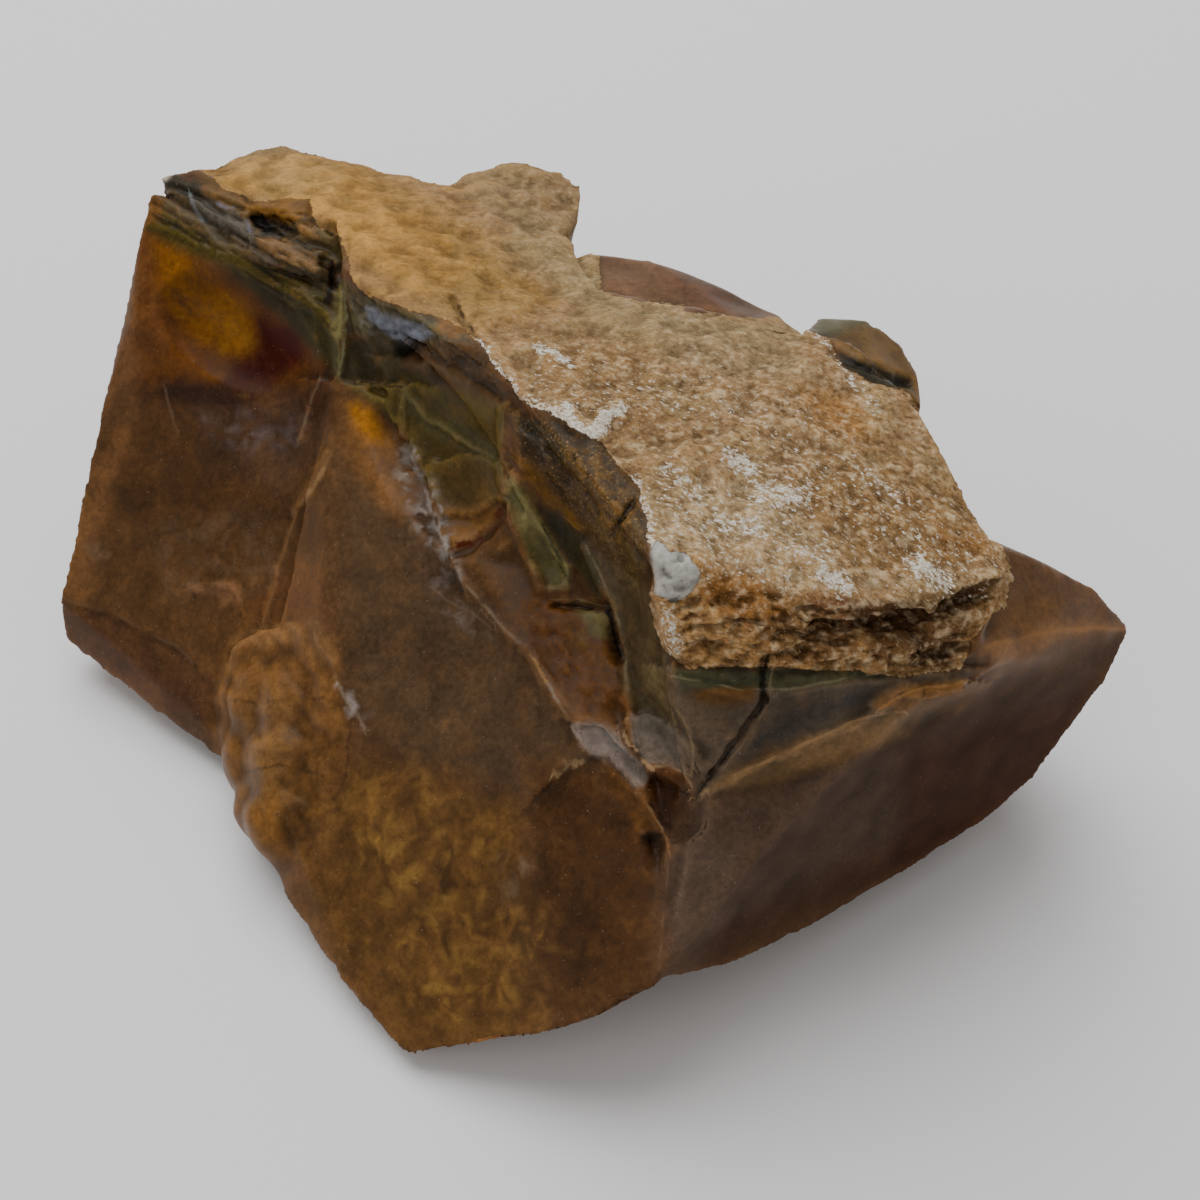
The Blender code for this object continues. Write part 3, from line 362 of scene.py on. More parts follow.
# the glassy part's zones: (colour, soft edge in px, strength, outline); later ones lie on top
AREAS = {
    "left_panel": ((82, 55, 28), 14, 1.0, at(120, 380, 235, 385, 335, 370, 336, 640, 230, 640,
        215, 690, 50, 640, 60, 590)),
    "panel_top_red": ((60, 34, 16), 14, 0.8, at(135, 375, 230, 385, 300, 375, 330, 360, 334, 420,
        290, 440, 200, 420, 130, 400)),
    "panel_top_grey": ((80, 58, 44), 14, 0.5, at(190, 410, 300, 400, 318, 440, 290, 500,
        210, 470)),
    "panel_orange": ((98, 62, 32), 12, 0.6, at(250, 590, 300, 560, 330, 590, 335, 640, 300, 625,
        235, 640)),
    "panel_upper": ((67, 42, 18), 20, 0.7, at(116, 420, 240, 430, 250, 500, 200, 520, 96, 520)),
    "panel_foot": ((74, 47, 27), 10, 0.8, at(55, 605, 110, 615, 180, 648, 225, 690, 235, 770,
        190, 720, 60, 650)),
    "panel_edge": ((104, 70, 40), 8, 0.6, at(128, 390, 142, 390, 110, 500, 80, 600, 62, 600,
        92, 500)),
    # the flank's upper part: brown glass greyed by a painted sheen
    "flank_upper_sheen": ((75, 56, 37), 24, 1.0, at(335, 440, 450, 555, 560, 700, 600, 760, 520, 800,
        400, 760, 350, 700, 336, 600)),
    "flank_low": ((91, 62, 29), 26, 1.0, at(345, 760, 420, 770, 520, 810, 540, 1040, 405, 1060,
        300, 930, 290, 880, 320, 830)),
    "flank_right": ((68, 43, 20), 20, 1.0, at(530, 760, 600, 770, 655, 830, 662, 975, 560, 1030,
        540, 900)),
    "flank_top_orange": ((104, 70, 36), 12, 0.8, at(336, 385, 400, 440, 430, 500, 400, 520,
        345, 470)),
    "flank_gold_spot": ((150, 96, 20), 7, 0.9, at(352, 402, 372, 410, 392, 442, 388, 456, 368, 440,
        352, 422)),
    "knobbly": ((98, 66, 32), 8, 1.0, KNOBBLY),
    "knobbly_foot": ((104, 70, 30), 8, 0.8, at(250, 763, 300, 770, 322, 800, 305, 862, 262, 862,
        244, 810)),
    "knob_top": ((116, 82, 48), 6, 0.8, at(232, 636, 262, 628, 300, 622, 318, 620, 336, 640,
        338, 662, 320, 668, 300, 646, 262, 646, 236, 648)),
    "knob_pale": ((106, 77, 44), 12, 0.5, at(250, 700, 285, 690, 294, 740, 282, 790, 262, 800,
        240, 770)),
    # painted shade under the lowest lump
    "knob_under_shade": ((62, 40, 16), 6, 0.8, at(282, 806, 312, 800, 314, 836, 290, 848, 276, 830)),
    "flake": ((116, 80, 52), 3, 0.65, at(186, 583, 202, 587, 218, 582, 234, 580, 241, 588,
        238, 603, 225, 606, 214, 595, 196, 592)),
    "scab": ((120, 84, 54), 3, 0.8, at(211, 556, 219, 556, 221, 564, 212, 567)),
    "scab_right": ((116, 82, 58), 3, 0.7, at(270, 565, 280, 566, 279, 577, 270, 575)),
    "scab_left": ((112, 88, 66), 5, 0.6, at(90, 545, 106, 550, 108, 560, 92, 560)),
    "amber_shell": ((84, 46, 7), 10, 1.0, SHELL),
    "amber_left": ((90, 54, 22), 10, 0.8, at(138, 228, 152, 240, 160, 310, 168, 372, 135, 380)),
    "amber_bright": ((122, 74, 9), 14, 0.95, at(158, 240, 200, 264, 232, 290, 256, 318, 252, 350,
        222, 356, 186, 330, 162, 290)),
    "amber_gold": ((150, 98, 18), 10, 0.5, at(204, 296, 240, 300, 254, 322, 246, 350, 226, 346)),
    "amber_dark": ((60, 8, 0), 9, 0.95, at(258, 316, 300, 334, 304, 360, 266, 388, 222, 386,
        240, 356, 258, 346)),
    "shell_rim": ((42, 24, 14), 6, 0.9, at(160, 378, 200, 380, 240, 384, 262, 392, 244, 404,
        190, 406, 158, 392)),
    "band_green": ((63, 53, 15), 7, 1.0, at(150, 195, 190, 214, 250, 250, 330, 290, 336, 372,
        300, 332, 230, 270, 145, 230)),
    "band_green_low": ((43, 36, 14), 7, 0.8, at(240, 272, 300, 300, 334, 330, 334, 368, 300, 338)),
    "layers": ((70, 57, 36), 6, 0.95, at(160, 175, 250, 205, 320, 215, 345, 268, 330, 290,
        250, 262, 175, 222, 148, 196)),
    "tip_dark": ((36, 34, 24), 4, 0.9, at(158, 176, 172, 171, 186, 180, 198, 184, 200, 197,
        188, 200, 176, 191, 162, 187)),
    "layer_under": ((92, 68, 34), 4, 0.8, at(196, 174, 212, 176, 240, 198, 262, 214, 252, 219,
        236, 212, 204, 190)),
    "layer_blue": ((74, 74, 70), 5, 0.5, at(190, 196, 214, 200, 246, 222, 256, 244, 236, 236,
        206, 220)),
    "layer_brown": ((100, 68, 22), 3, 0.95, at(243, 202, 262, 204, 275, 199, 310, 197, 311, 215,
        290, 224, 270, 222, 252, 217)),
    # near black painted shade in the crevice under the layers
    "crevice_shade": ((14, 11, 8), 2, 1.0, at(252, 217, 262, 219, 285, 233, 284, 239, 268, 235,
        253, 228)),
    "layer_pink": ((108, 81, 50), 3, 0.95, at(257, 237, 272, 236, 290, 246, 317, 256, 318, 270,
        300, 266, 280, 258, 260, 252)),
    "layer_orange": ((108, 78, 40), 3, 0.9, at(296, 225, 316, 224, 318, 240, 302, 240)),
    "layer_low_dark": ((34, 28, 18), 3, 0.7, at(256, 256, 280, 262, 318, 274, 322, 282, 290, 276,
        262, 266)),
    "layer_olive": ((76, 62, 30), 4, 0.8, at(318, 218, 340, 222, 345, 262, 330, 264, 318, 244)),
    "tip_clear": ((160, 150, 134), 3, 0.95, at(152, 178, 158, 162, 172, 157, 181, 154, 180, 164,
        172, 174, 160, 184)),
    "tip_orange": ((88, 58, 24), 4, 0.95, at(140, 194, 152, 186, 164, 198, 160, 222, 142, 226)),
    "fin": ((92, 86, 50), 4, 0.9, at(333, 276, 345, 282, 346, 330, 340, 376, 332, 372)),
    # near black painted shade in the slot beside the fin
    "fin_slot": ((20, 9, 5), 2, 0.95, at(328, 265, 342, 263, 340, 282, 332, 290, 330, 305,
        323, 303, 326, 285)),
    "upper_wall": ((72, 64, 42), 6, 1.0, at(346, 284, 372, 300, 400, 306, 440, 320, 476, 342,
        505, 400, 403, 362, 372, 340, 346, 330)),
    # a bluish grey patch on the wall: a painted sheen
    "wall_blue_sheen": ((104, 108, 118), 4, 0.9, at(366, 306, 390, 316, 424, 326, 432, 338, 408, 346,
        388, 336, 368, 318)),
    "wall_rust": ((110, 74, 34), 4, 0.8, at(440, 318, 462, 312, 470, 330, 452, 336, 436, 330)),
    # near black painted shade in the pit
    "pit": ((20, 16, 10), 3, 0.95, at(394, 346, 416, 344, 422, 358, 402, 364)),
    "hollow_top": ((52, 46, 26), 4, 0.9, at(337, 340, 372, 340, 403, 362, 401, 384, 337, 382)),
    "hollow_green": ((80, 66, 27), 5, 1.0, at(337, 380, 401, 384, 403, 360, 505, 403, 503, 470,
        499, 497, 437, 500, 402, 435, 370, 400)),
    "hollow_light": ((84, 76, 44), 5, 0.7, at(401, 384, 440, 410, 500, 450, 499, 472, 440, 440,
        404, 410)),
    "hollow_brown": ((70, 50, 30), 4, 0.95, at(403, 359, 440, 340, 476, 342, 505, 400, 500, 406,
        440, 385, 400, 370)),
    "hollow_gold": ((80, 61, 30), 12, 0.9, at(436, 462, 470, 452, 499, 470, 500, 500, 470, 515,
        440, 512)),
    "hollow_glass": ((112, 76, 32), 7, 0.95, at(440, 510, 470, 515, 500, 500, 500, 512, 470, 540,
        453, 551)),
    "hollow_under": ((74, 50, 26), 5, 0.95, at(453, 556, 480, 545, 500, 515, 520, 540, 545, 590,
        520, 620, 480, 590)),
    "streak_blue": ((100, 82, 66), 4, 0.6, at(412, 455, 424, 470, 432, 510, 446, 548, 452, 572,
        436, 540, 420, 500)),
    "wall": ((68, 49, 24), 6, 1.0, at(503, 405, 600, 442, 640, 487, 652, 560, 640, 640, 600, 560,
        530, 480)),
    "wall_dark": ((46, 38, 21), 6, 0.8, at(510, 410, 560, 425, 610, 452, 600, 470, 560, 462,
        524, 440)),
    "wall_rim": ((56, 43, 26), 8, 0.7, at(540, 412, 600, 440, 640, 487, 650, 540, 630, 540,
        610, 490, 570, 450, 530, 425)),
    "wall_orange": ((122, 82, 22), 5, 0.9, at(514, 452, 540, 470, 560, 500, 585, 526, 574, 530,
        545, 500, 522, 470)),
    "strip_green": ((104, 95, 56), 6, 1.0, at(507, 476, 522, 488, 545, 520, 566, 565, 568, 588,
        548, 586, 520, 540, 508, 500)),
    "trough_green": ((50, 46, 28), 5, 0.95, at(537, 500, 580, 530, 607, 572, 600, 600, 568, 560,
        548, 525)),
    "wall_lower": ((74, 56, 28), 5, 0.9, at(590, 500, 640, 520, 648, 560, 632, 600, 612, 560)),
    "triangle": ((96, 88, 52), 4, 0.95, at(572, 609, 606, 612, 616, 640, 590, 636)),
    "trough_amber": ((88, 53, 18), 8, 1.0, TROUGH),
    "ribbon": ((82, 68, 44), 4, 1.0, at(590, 550, 650, 590, 672, 672, 686, 712, 694, 748, 672, 728,
        648, 709, 630, 716, 622, 640)),
    "ribbon_light": ((98, 84, 56), 3, 0.6, at(640, 630, 652, 660, 668, 690, 686, 736, 668, 722,
        650, 704, 642, 670)),
    # the two grey facets at the prow: brown glass greyed by a painted sheen
    "facet_far_sheen": ((98, 86, 74), 2, 1.0, at(630, 717, 648, 709, 671, 727, 694, 750, 691, 777,
        676, 770, 659, 766, 645, 764, 635, 744)),
    "facet_far_top": ((74, 66, 54), 4, 0.8, at(634, 716, 648, 710, 671, 728, 690, 748, 682, 750,
        660, 734, 642, 726)),
    "facet_near_sheen": ((110, 96, 86), 2, 1.0, at(572, 722, 590, 719, 607, 725, 618, 738, 637, 758,
        648, 780, 634, 788, 612, 768, 587, 752, 573, 734)),
    "facet_gold": ((92, 58, 22), 4, 0.8, at(604, 758, 628, 780, 642, 800, 660, 828, 642, 834,
        622, 802, 606, 776)),
    "notch_brown": ((58, 33, 13), 3, 1.0, at(645, 775, 665, 766, 685, 780, 690, 797, 675, 820,
        670, 835, 660, 828, 645, 792)),
    "notch_low": ((62, 38, 18), 3, 0.95, at(640, 835, 662, 830, 668, 842, 670, 852, 660, 887,
        645, 865)),
    "notch_low_dark": ((26, 15, 8), 2, 0.9, at(641, 834, 660, 830, 664, 836, 652, 842, 643, 842)),
    "prow_light": ((104, 74, 46), 5, 0.5, at(655, 870, 668, 840, 676, 880, 668, 970, 656, 972)),
    "front_face": ((78, 61, 48), 20, 1.0, at(695, 800, 760, 785, 880, 740, 965, 700, 1135, 628,
        1085, 700, 1045, 800, 850, 900, 665, 980, 665, 860)),
    "front_red_edge": ((70, 44, 26), 14, 0.7, at(720, 930, 850, 860, 1000, 795, 1060, 730,
        1050, 800, 850, 905, 700, 975)),
    "slope": ((96, 68, 44), 16, 1.0, at(965, 480, 1045, 576, 1135, 628, 1010, 650, 965, 690,
        1000, 620)),
    "slope_yellow": ((98, 66, 30), 10, 0.7, at(1004, 600, 1060, 600, 1080, 625, 1010, 650,
        975, 660)),
    "spur_ridge": ((126, 88, 50), 7, 0.8, at(985, 645, 1060, 622, 1135, 625, 1060, 638,
        1000, 664)),
    "under_cliff": ((82, 68, 52), 9, 1.0, at(665, 670, 880, 672, 970, 670, 950, 705, 760, 785,
        697, 800, 680, 740)),
    "pale_facet": ((80, 66, 52), 7, 0.7, at(700, 740, 755, 710, 756, 735, 720, 780, 698, 792)),
    "orange_band": ((118, 90, 58), 8, 1.0, at(705, 792, 760, 752, 860, 722, 945, 700, 960, 710,
        880, 745, 780, 782)),
    "blue_streak": ((58, 52, 48), 8, 0.9, at(745, 745, 800, 705, 880, 685, 870, 702, 800, 732,
        750, 758)),
    "orange_under_rind": ((100, 66, 24), 4, 0.9, at(692, 690, 757, 684, 755, 700, 720, 706,
        700, 702)),
    "green_line": ((58, 60, 40), 4, 0.9, at(672, 668, 760, 672, 880, 668, 895, 676, 800, 688,
        680, 690)),
    "orange_flake": ((120, 82, 40), 5, 0.9, at(876, 705, 905, 684, 965, 680, 960, 694, 905, 714)),
    "flake_shadow": ((50, 36, 28), 5, 0.7, at(900, 722, 955, 700, 960, 716, 915, 736)),
    "face_right": ((60, 34, 18), 22, 0.7, at(900, 745, 1060, 695, 1130, 640, 1045, 805, 900, 875)),
    "face_left_light": ((86, 70, 58), 10, 0.6, at(668, 880, 700, 830, 740, 850, 720, 920,
        676, 950)),
    "back_shelf": ((100, 73, 51), 10, 1.0, at(565, 238, 640, 258, 727, 308, 780, 314, 720, 320,
        600, 292)),
    "back_brown": ((62, 48, 34), 8, 0.8, at(572, 238, 600, 246, 605, 280, 590, 275)),
    "back_red": ((82, 54, 42), 9, 0.6, at(660, 275, 720, 290, 735, 312, 690, 306)),
    "crystals": ((150, 148, 140), 3, 1.0, at(654, 538, 668, 530, 712, 560, 704, 600, 690, 660,
        668, 640, 654, 594)),
    "crystal_low": ((120, 112, 98), 4, 0.5, at(655, 606, 684, 604, 684, 650, 672, 650)),
    "lump": ((92, 69, 38), 9, 1.0, LUMP),
    "lump_rim": ((72, 72, 54), 5, 0.8, at(800, 318, 815, 311, 870, 311, 884, 322, 850, 330,
        824, 340)),
    # the crevice under the lump: greenish, darkened with painted shade
    "lump_crevice_green_and_shade": ((38, 36, 26), 5, 0.95, at(838, 352, 872, 366, 908, 378, 914, 392, 872, 388,
        846, 374)),
}

# the rind's zones, given likewise
RIND_AREAS = {
    "gold": ((148, 110, 51), 22, 0.9, at(170, 175, 345, 160, 470, 230, 560, 300, 470, 330,
        345, 262, 330, 212, 240, 200)),
    "gold_streak": ((183, 138, 72), 10, 0.7, at(230, 180, 330, 186, 400, 214, 420, 250, 360, 250,
        300, 205)),
    "olive_tip": ((113, 97, 68), 6, 0.75, at(180, 158, 200, 148, 240, 142, 300, 138, 340, 146,
        300, 150, 240, 158, 192, 168)),
    "tip_lit": ((187, 148, 88), 8, 0.7, at(240, 164, 300, 158, 345, 176, 330, 192, 290, 190,
        250, 182)),
    "knob": ((134, 110, 79), 10, 0.8, at(440, 180, 510, 160, 585, 180, 575, 240, 500, 220)),
    "olive_back": ((136, 120, 85), 16, 0.7, at(520, 210, 640, 300, 800, 330, 760, 345, 600, 320,
        510, 250)),
    "brown_rim": ((134, 101, 63), 6, 0.8, at(345, 266, 372, 300, 440, 318, 478, 342, 470, 326,
        440, 302, 372, 280)),
    "grey_back": ((148, 127, 94), 14, 0.6, at(620, 300, 790, 340, 820, 380, 700, 370, 610, 330)),
    "brown_middle": ((139, 107, 68), 16, 0.6, at(520, 330, 640, 350, 700, 440, 620, 440,
        530, 380)),
    "pale_front": ((174, 146, 106), 18, 0.8, at(640, 490, 760, 470, 840, 560, 830, 590, 700, 560,
        655, 560)),
    "brown_right": ((134, 103, 64), 24, 0.8, at(820, 440, 950, 480, 1000, 560, 960, 572, 850, 560,
        800, 500)),
    "orange_1": ((164, 114, 56), 14, 0.7, at(800, 390, 870, 400, 870, 440, 820, 430)),
    "orange_2": ((153, 105, 50), 12, 0.5, at(930, 530, 985, 530, 990, 560, 940, 560)),
    "orange_3": ((143, 97, 43), 8, 0.7, at(640, 540, 700, 560, 740, 600, 700, 600, 660, 580)),
    "cliff": ((170, 128, 78), 9, 0.9, at(655, 600, 740, 590, 850, 612, 935, 605, 1004, 590,
        962, 668, 850, 676, 690, 676)),
    "cliff_centre": ((117, 83, 49), 10, 0.8, at(745, 600, 850, 604, 862, 664, 760, 666)),
    "cliff_right": ((85, 56, 33), 10, 0.8, at(862, 612, 950, 596, 1000, 592, 966, 640, 950, 666,
        872, 666)),
    "cliff_rust": ((142, 94, 42), 6, 0.8, at(700, 582, 745, 572, 770, 588, 790, 615, 745, 620,
        712, 606)),
    # the slot under the rind's edge: brown, darkened with painted shade
    "cliff_slot_brown_and_shade": ((71, 45, 27), 5, 0.95, at(846, 602, 900, 600, 960, 586, 990, 586, 962, 606,
        920, 626, 870, 632, 846, 626)),
    "cliff_lines": ((107, 73, 44), 4, 0.7, at(725, 612, 780, 622, 848, 636, 846, 644, 780, 634,
        725, 622)),
    # the pocket: brown, darkened with painted shade
    "pocket_brown_and_shade": ((84, 60, 38), 5, 0.8, at(896, 632, 940, 640, 962, 630, 950, 662, 904, 664)),
    "cliff_brown_block": ((115, 77, 50), 4, 0.95, at(807, 598, 848, 600, 848, 628, 812, 624)),
    "dot": ((24, 20, 18), 2, 1.0, at(899, 573, 907, 573, 907, 581, 899, 581)),
}

# thin blooms and glows, broken into flecks, given likewise; the pale grey ones are partly a bloom
# on the glass and partly a painted sheen
HAZE_AND_SHEEN = {
    "ridge": ((134, 126, 120), 8, 0.75, at(398, 440, 420, 450, 440, 495, 454, 540, 462, 580,
        440, 570, 418, 526, 400, 486)),
    "ridge_top": ((132, 120, 104), 6, 0.5, at(388, 440, 404, 444, 412, 490, 396, 480)),
    "panel": ((98, 86, 84), 10, 0.6, at(205, 418, 250, 412, 300, 420, 300, 446, 250, 452,
        206, 440)),
    "panel_middle": ((98, 80, 64), 14, 0.35, at(150, 530, 240, 510, 290, 530, 270, 590, 170, 595)),
    "amber_light": ((150, 98, 24), 8, 0.5, at(196, 296, 236, 296, 256, 322, 250, 352, 224, 354,
        204, 334)),
    "amber_shade": ((62, 34, 8), 8, 0.6, at(142, 240, 172, 262, 204, 286, 196, 310, 170, 330,
        144, 320)),
    "wall_gold": ((112, 78, 28), 8, 0.5, at(560, 440, 610, 456, 636, 500, 640, 550, 610, 540,
        580, 490)),
    "trough_gold": ((104, 78, 30), 6, 0.6, at(560, 605, 592, 640, 612, 660, 600, 668, 570, 640)),
    "knob": ((140, 128, 122), 4, 0.8, at(334, 676, 346, 682, 366, 712, 364, 728, 350, 716,
        338, 696)),
    "flank": ((112, 100, 94), 8, 0.5, at(424, 560, 448, 580, 490, 640, 480, 650, 440, 610)),
    "flank_foot": ((138, 118, 96), 8, 0.4, at(500, 860, 530, 850, 534, 900, 510, 910)),
    "fin": ((126, 126, 118), 4, 0.5, at(352, 300, 366, 318, 372, 336, 360, 330)),
    "wall": ((116, 116, 106), 5, 0.5, at(520, 430, 540, 440, 546, 470, 530, 466)),
    "prow": ((140, 130, 126), 5, 0.5, at(600, 728, 616, 734, 634, 756, 622, 760, 602, 744)),
}

# where the glassy part's colour is even: (outline, soft edge in px, strength)
CALM = [(SHELL, 10, 0.6), (CRYSTALS, 3, 1.0), (MATTE, 20, 0.8), (TROUGH, 10, 0.7)]

# white crust and chalk: (reach in px, strength, line)
CRUST = {
    "blob_low": (8, 0.62, ridge("rind_low")),
    "edge": (8, 0.75, at(478, 345, 500, 375, 520, 400, 548, 412, 575, 425)),
    "squiggle": (8, 1.1, at(565, 408, 580, 430, 597, 432, 604, 418, 620, 410)),
    "rim": (8, 0.6, at(636, 480, 648, 520, 655, 545)),
    "spot_1": (11, 0.7, at(730, 455, 750, 470)),
    "spot_2": (18, 0.62, at(765, 495, 800, 495)),
    "spot_3": (11, 0.8, at(822, 572, 845, 590)),
    "spot_4": (13, 0.75, at(918, 562, 942, 582)),
    "spot_5": (12, 0.6, at(720, 520, 760, 530)),
    "spot_6": (10, 0.4, at(860, 470, 900, 500)),
    "spot_7": (12, 0.42, at(790, 550, 826, 556)),
    "spot_8": (14, 0.42, at(670, 470, 700, 500)),
    "line": (4, 0.9, at(535, 346, 555, 352, 572, 366)),
    "ridge_line": (6, 0.42, at(812, 330, 830, 350, 850, 380, 880, 410)),
    "low_tip": (5, 1.1, at(664, 668, 674, 676)),
    "veil": (50, 0.24, at(660, 520, 720, 540, 800, 550)),
    "veil_right": (60, 0.16, at(780, 440, 860, 520, 960, 560)),
    "veil_back": (40, 0.14, at(560, 380, 640, 400, 720, 400)),
}

# thin pale marks: streaks, scratches and chipped edges, partly their own colour and partly painted
# highlight where edges catch the light, as on the fin, the ribbon's edge and the facets' chips;
# (colour, half width in px, strength, line)
PALE_LINES_HIGHLIGHTS_AND_GLOW = {
    "blue_1": ((110, 112, 114), 2.4, 0.7, at(190, 196, 194, 206, 203, 220)),
    "blue_2": ((104, 104, 118), 2.4, 0.7, at(215, 200, 232, 208, 246, 220, 250, 232)),
    "band_pale": ((104, 92, 66), 2.4, 0.6, at(206, 246, 216, 252, 228, 254)),
    # painted highlight along the fin's edge
    "fin_edge": ((134, 132, 96), 1.6, 0.55, at(345, 284, 346, 330, 338, 378)),
    "hollow_line": ((112, 108, 76), 1.2, 0.24, ridge("hollow_line")),
    "hollow_rib": ((112, 104, 70), 1.2, 0.3, ridge("hollow_rib")),
    "hollow_edge": ((120, 96, 72), 2.0, 0.45, at(401, 434, 428, 480, 432, 513, 453, 567)),
    "streak_white": ((170, 160, 148), 2.4, 0.35, at(412, 455, 424, 480, 434, 520, 452, 560,
        456, 572)),
    "ridge_edge": ((124, 112, 70), 1.3, 0.35, at(503, 417, 501, 472, 512, 522, 541, 588)),
    "strip_edge": ((138, 134, 92), 1.6, 0.5, at(509, 480, 530, 508, 552, 545, 566, 566, 566, 590,
        552, 588)),
    "gold_edge": ((140, 100, 40), 1.2, 0.4, at(516, 460, 545, 500, 576, 528)),
    "crack_lip": ((120, 112, 70), 1.4, 0.5, at(557, 600, 582, 600, 607, 606)),
    # painted highlight along the ribbon's left edge
    "ribbon_edge": ((140, 130, 100), 1.4, 0.3, at(587, 547, 612, 600, 624, 638, 630, 713)),
    "ribbon_low": ((140, 118, 86), 1.6, 0.5, at(676, 706, 686, 724, 695, 750, 692, 776)),
    "border": ((140, 124, 104), 1.8, 0.35, at(455, 572, 499, 622, 526, 650)),
    "border_gold": ((176, 132, 82), 2.0, 0.45, at(526, 648, 536, 664, 546, 682)),
    "border_low": ((150, 138, 124), 2.0, 0.45, at(548, 684, 564, 712, 578, 738)),
    # the chips and rim between the facets: pale chips, lightened with painted highlight
    "facet_chips": ((158, 128, 92), 2.6, 0.8, at(627, 720, 623, 732, 630, 744)),
    "facet_chips_low": ((166, 134, 96), 2.4, 0.8, at(637, 750, 643, 761, 651, 770)),
    "facet_rim": ((150, 132, 114), 1.0, 0.6, at(580, 722, 604, 726, 616, 742)),
    "notch_lip": ((150, 122, 88), 1.6, 0.6, at(656, 768, 670, 766, 684, 774, 692, 786)),
    "chip_rim": ((130, 106, 74), 4.5, 0.85, at(555, 774, 562, 766, 576, 763, 590, 759, 598, 766)),
    "notch_rim": ((156, 112, 70), 1.8, 0.5, at(662, 832, 668, 842, 670, 852)),
    "wedge_edge": ((150, 120, 84), 1.4, 0.5, at(634, 782, 644, 800, 662, 828)),
    "prow_edge": ((132, 104, 80), 1.2, 0.35, at(668, 870, 664, 910, 660, 950, 656, 974)),
    "panel_line": ((136, 116, 92), 1.6, 0.3, ridge("panel_line")),
    "panel_dash": ((120, 96, 72), 1.8, 0.3, at(166, 390, 172, 412, 176, 430)),
    "panel_streak": ((158, 124, 84), 2.6, 0.5, at(328, 460, 312, 490, 297, 510)),
    "panel_scratch": ((128, 98, 66), 1.3, 0.35, ridge("panel_long_line")),
    "panel_band": ((116, 92, 72), 2.0, 0.25, at(66, 600, 110, 612, 178, 646, 212, 684)),
    "flake_rim": ((150, 110, 74), 1.6, 0.15, ridge("flake_rim")),
    "knob_streak": ((160, 146, 128), 2.6, 0.28, at(338, 682, 350, 704, 363, 724)),
    "knob_top": ((140, 104, 66), 2.0, 0.4, at(232, 636, 262, 628, 300, 622, 322, 624)),
    "flank_scratch": ((116, 96, 76), 1.4, 0.25, at(432, 588, 446, 600, 470, 612, 492, 628)),
    # the thin front edge: chipped, and orange with painted glow of light through it
    "foot_chip_glow": ((176, 116, 62), 2.0, 0.8, at(455, 1048, 500, 1036, 520, 1042, 560, 1032,
        600, 1018)),
    "face_lip": ((168, 132, 92), 1.6, 0.5, at(693, 798, 722, 782, 750, 768, 800, 745, 870, 715,
        905, 712)),
    "cliff_lip": ((150, 138, 104), 1.4, 0.35, at(672, 676, 740, 690, 800, 688, 880, 672)),
    "flake_lip": ((176, 128, 76), 1.8, 0.5, at(880, 708, 908, 692, 936, 686, 964, 682)),
    "spur_lip": ((166, 116, 62), 2.4, 0.4, at(972, 652, 1010, 640, 1060, 630, 1124, 628)),
    "pocket_lip": ((150, 118, 76), 2.0, 0.6, at(966, 640, 974, 610, 1000, 600)),
    "k_lip": ((140, 118, 92), 1.2, 0.35, at(774, 660, 770, 700, 744, 742, 702, 796)),
}

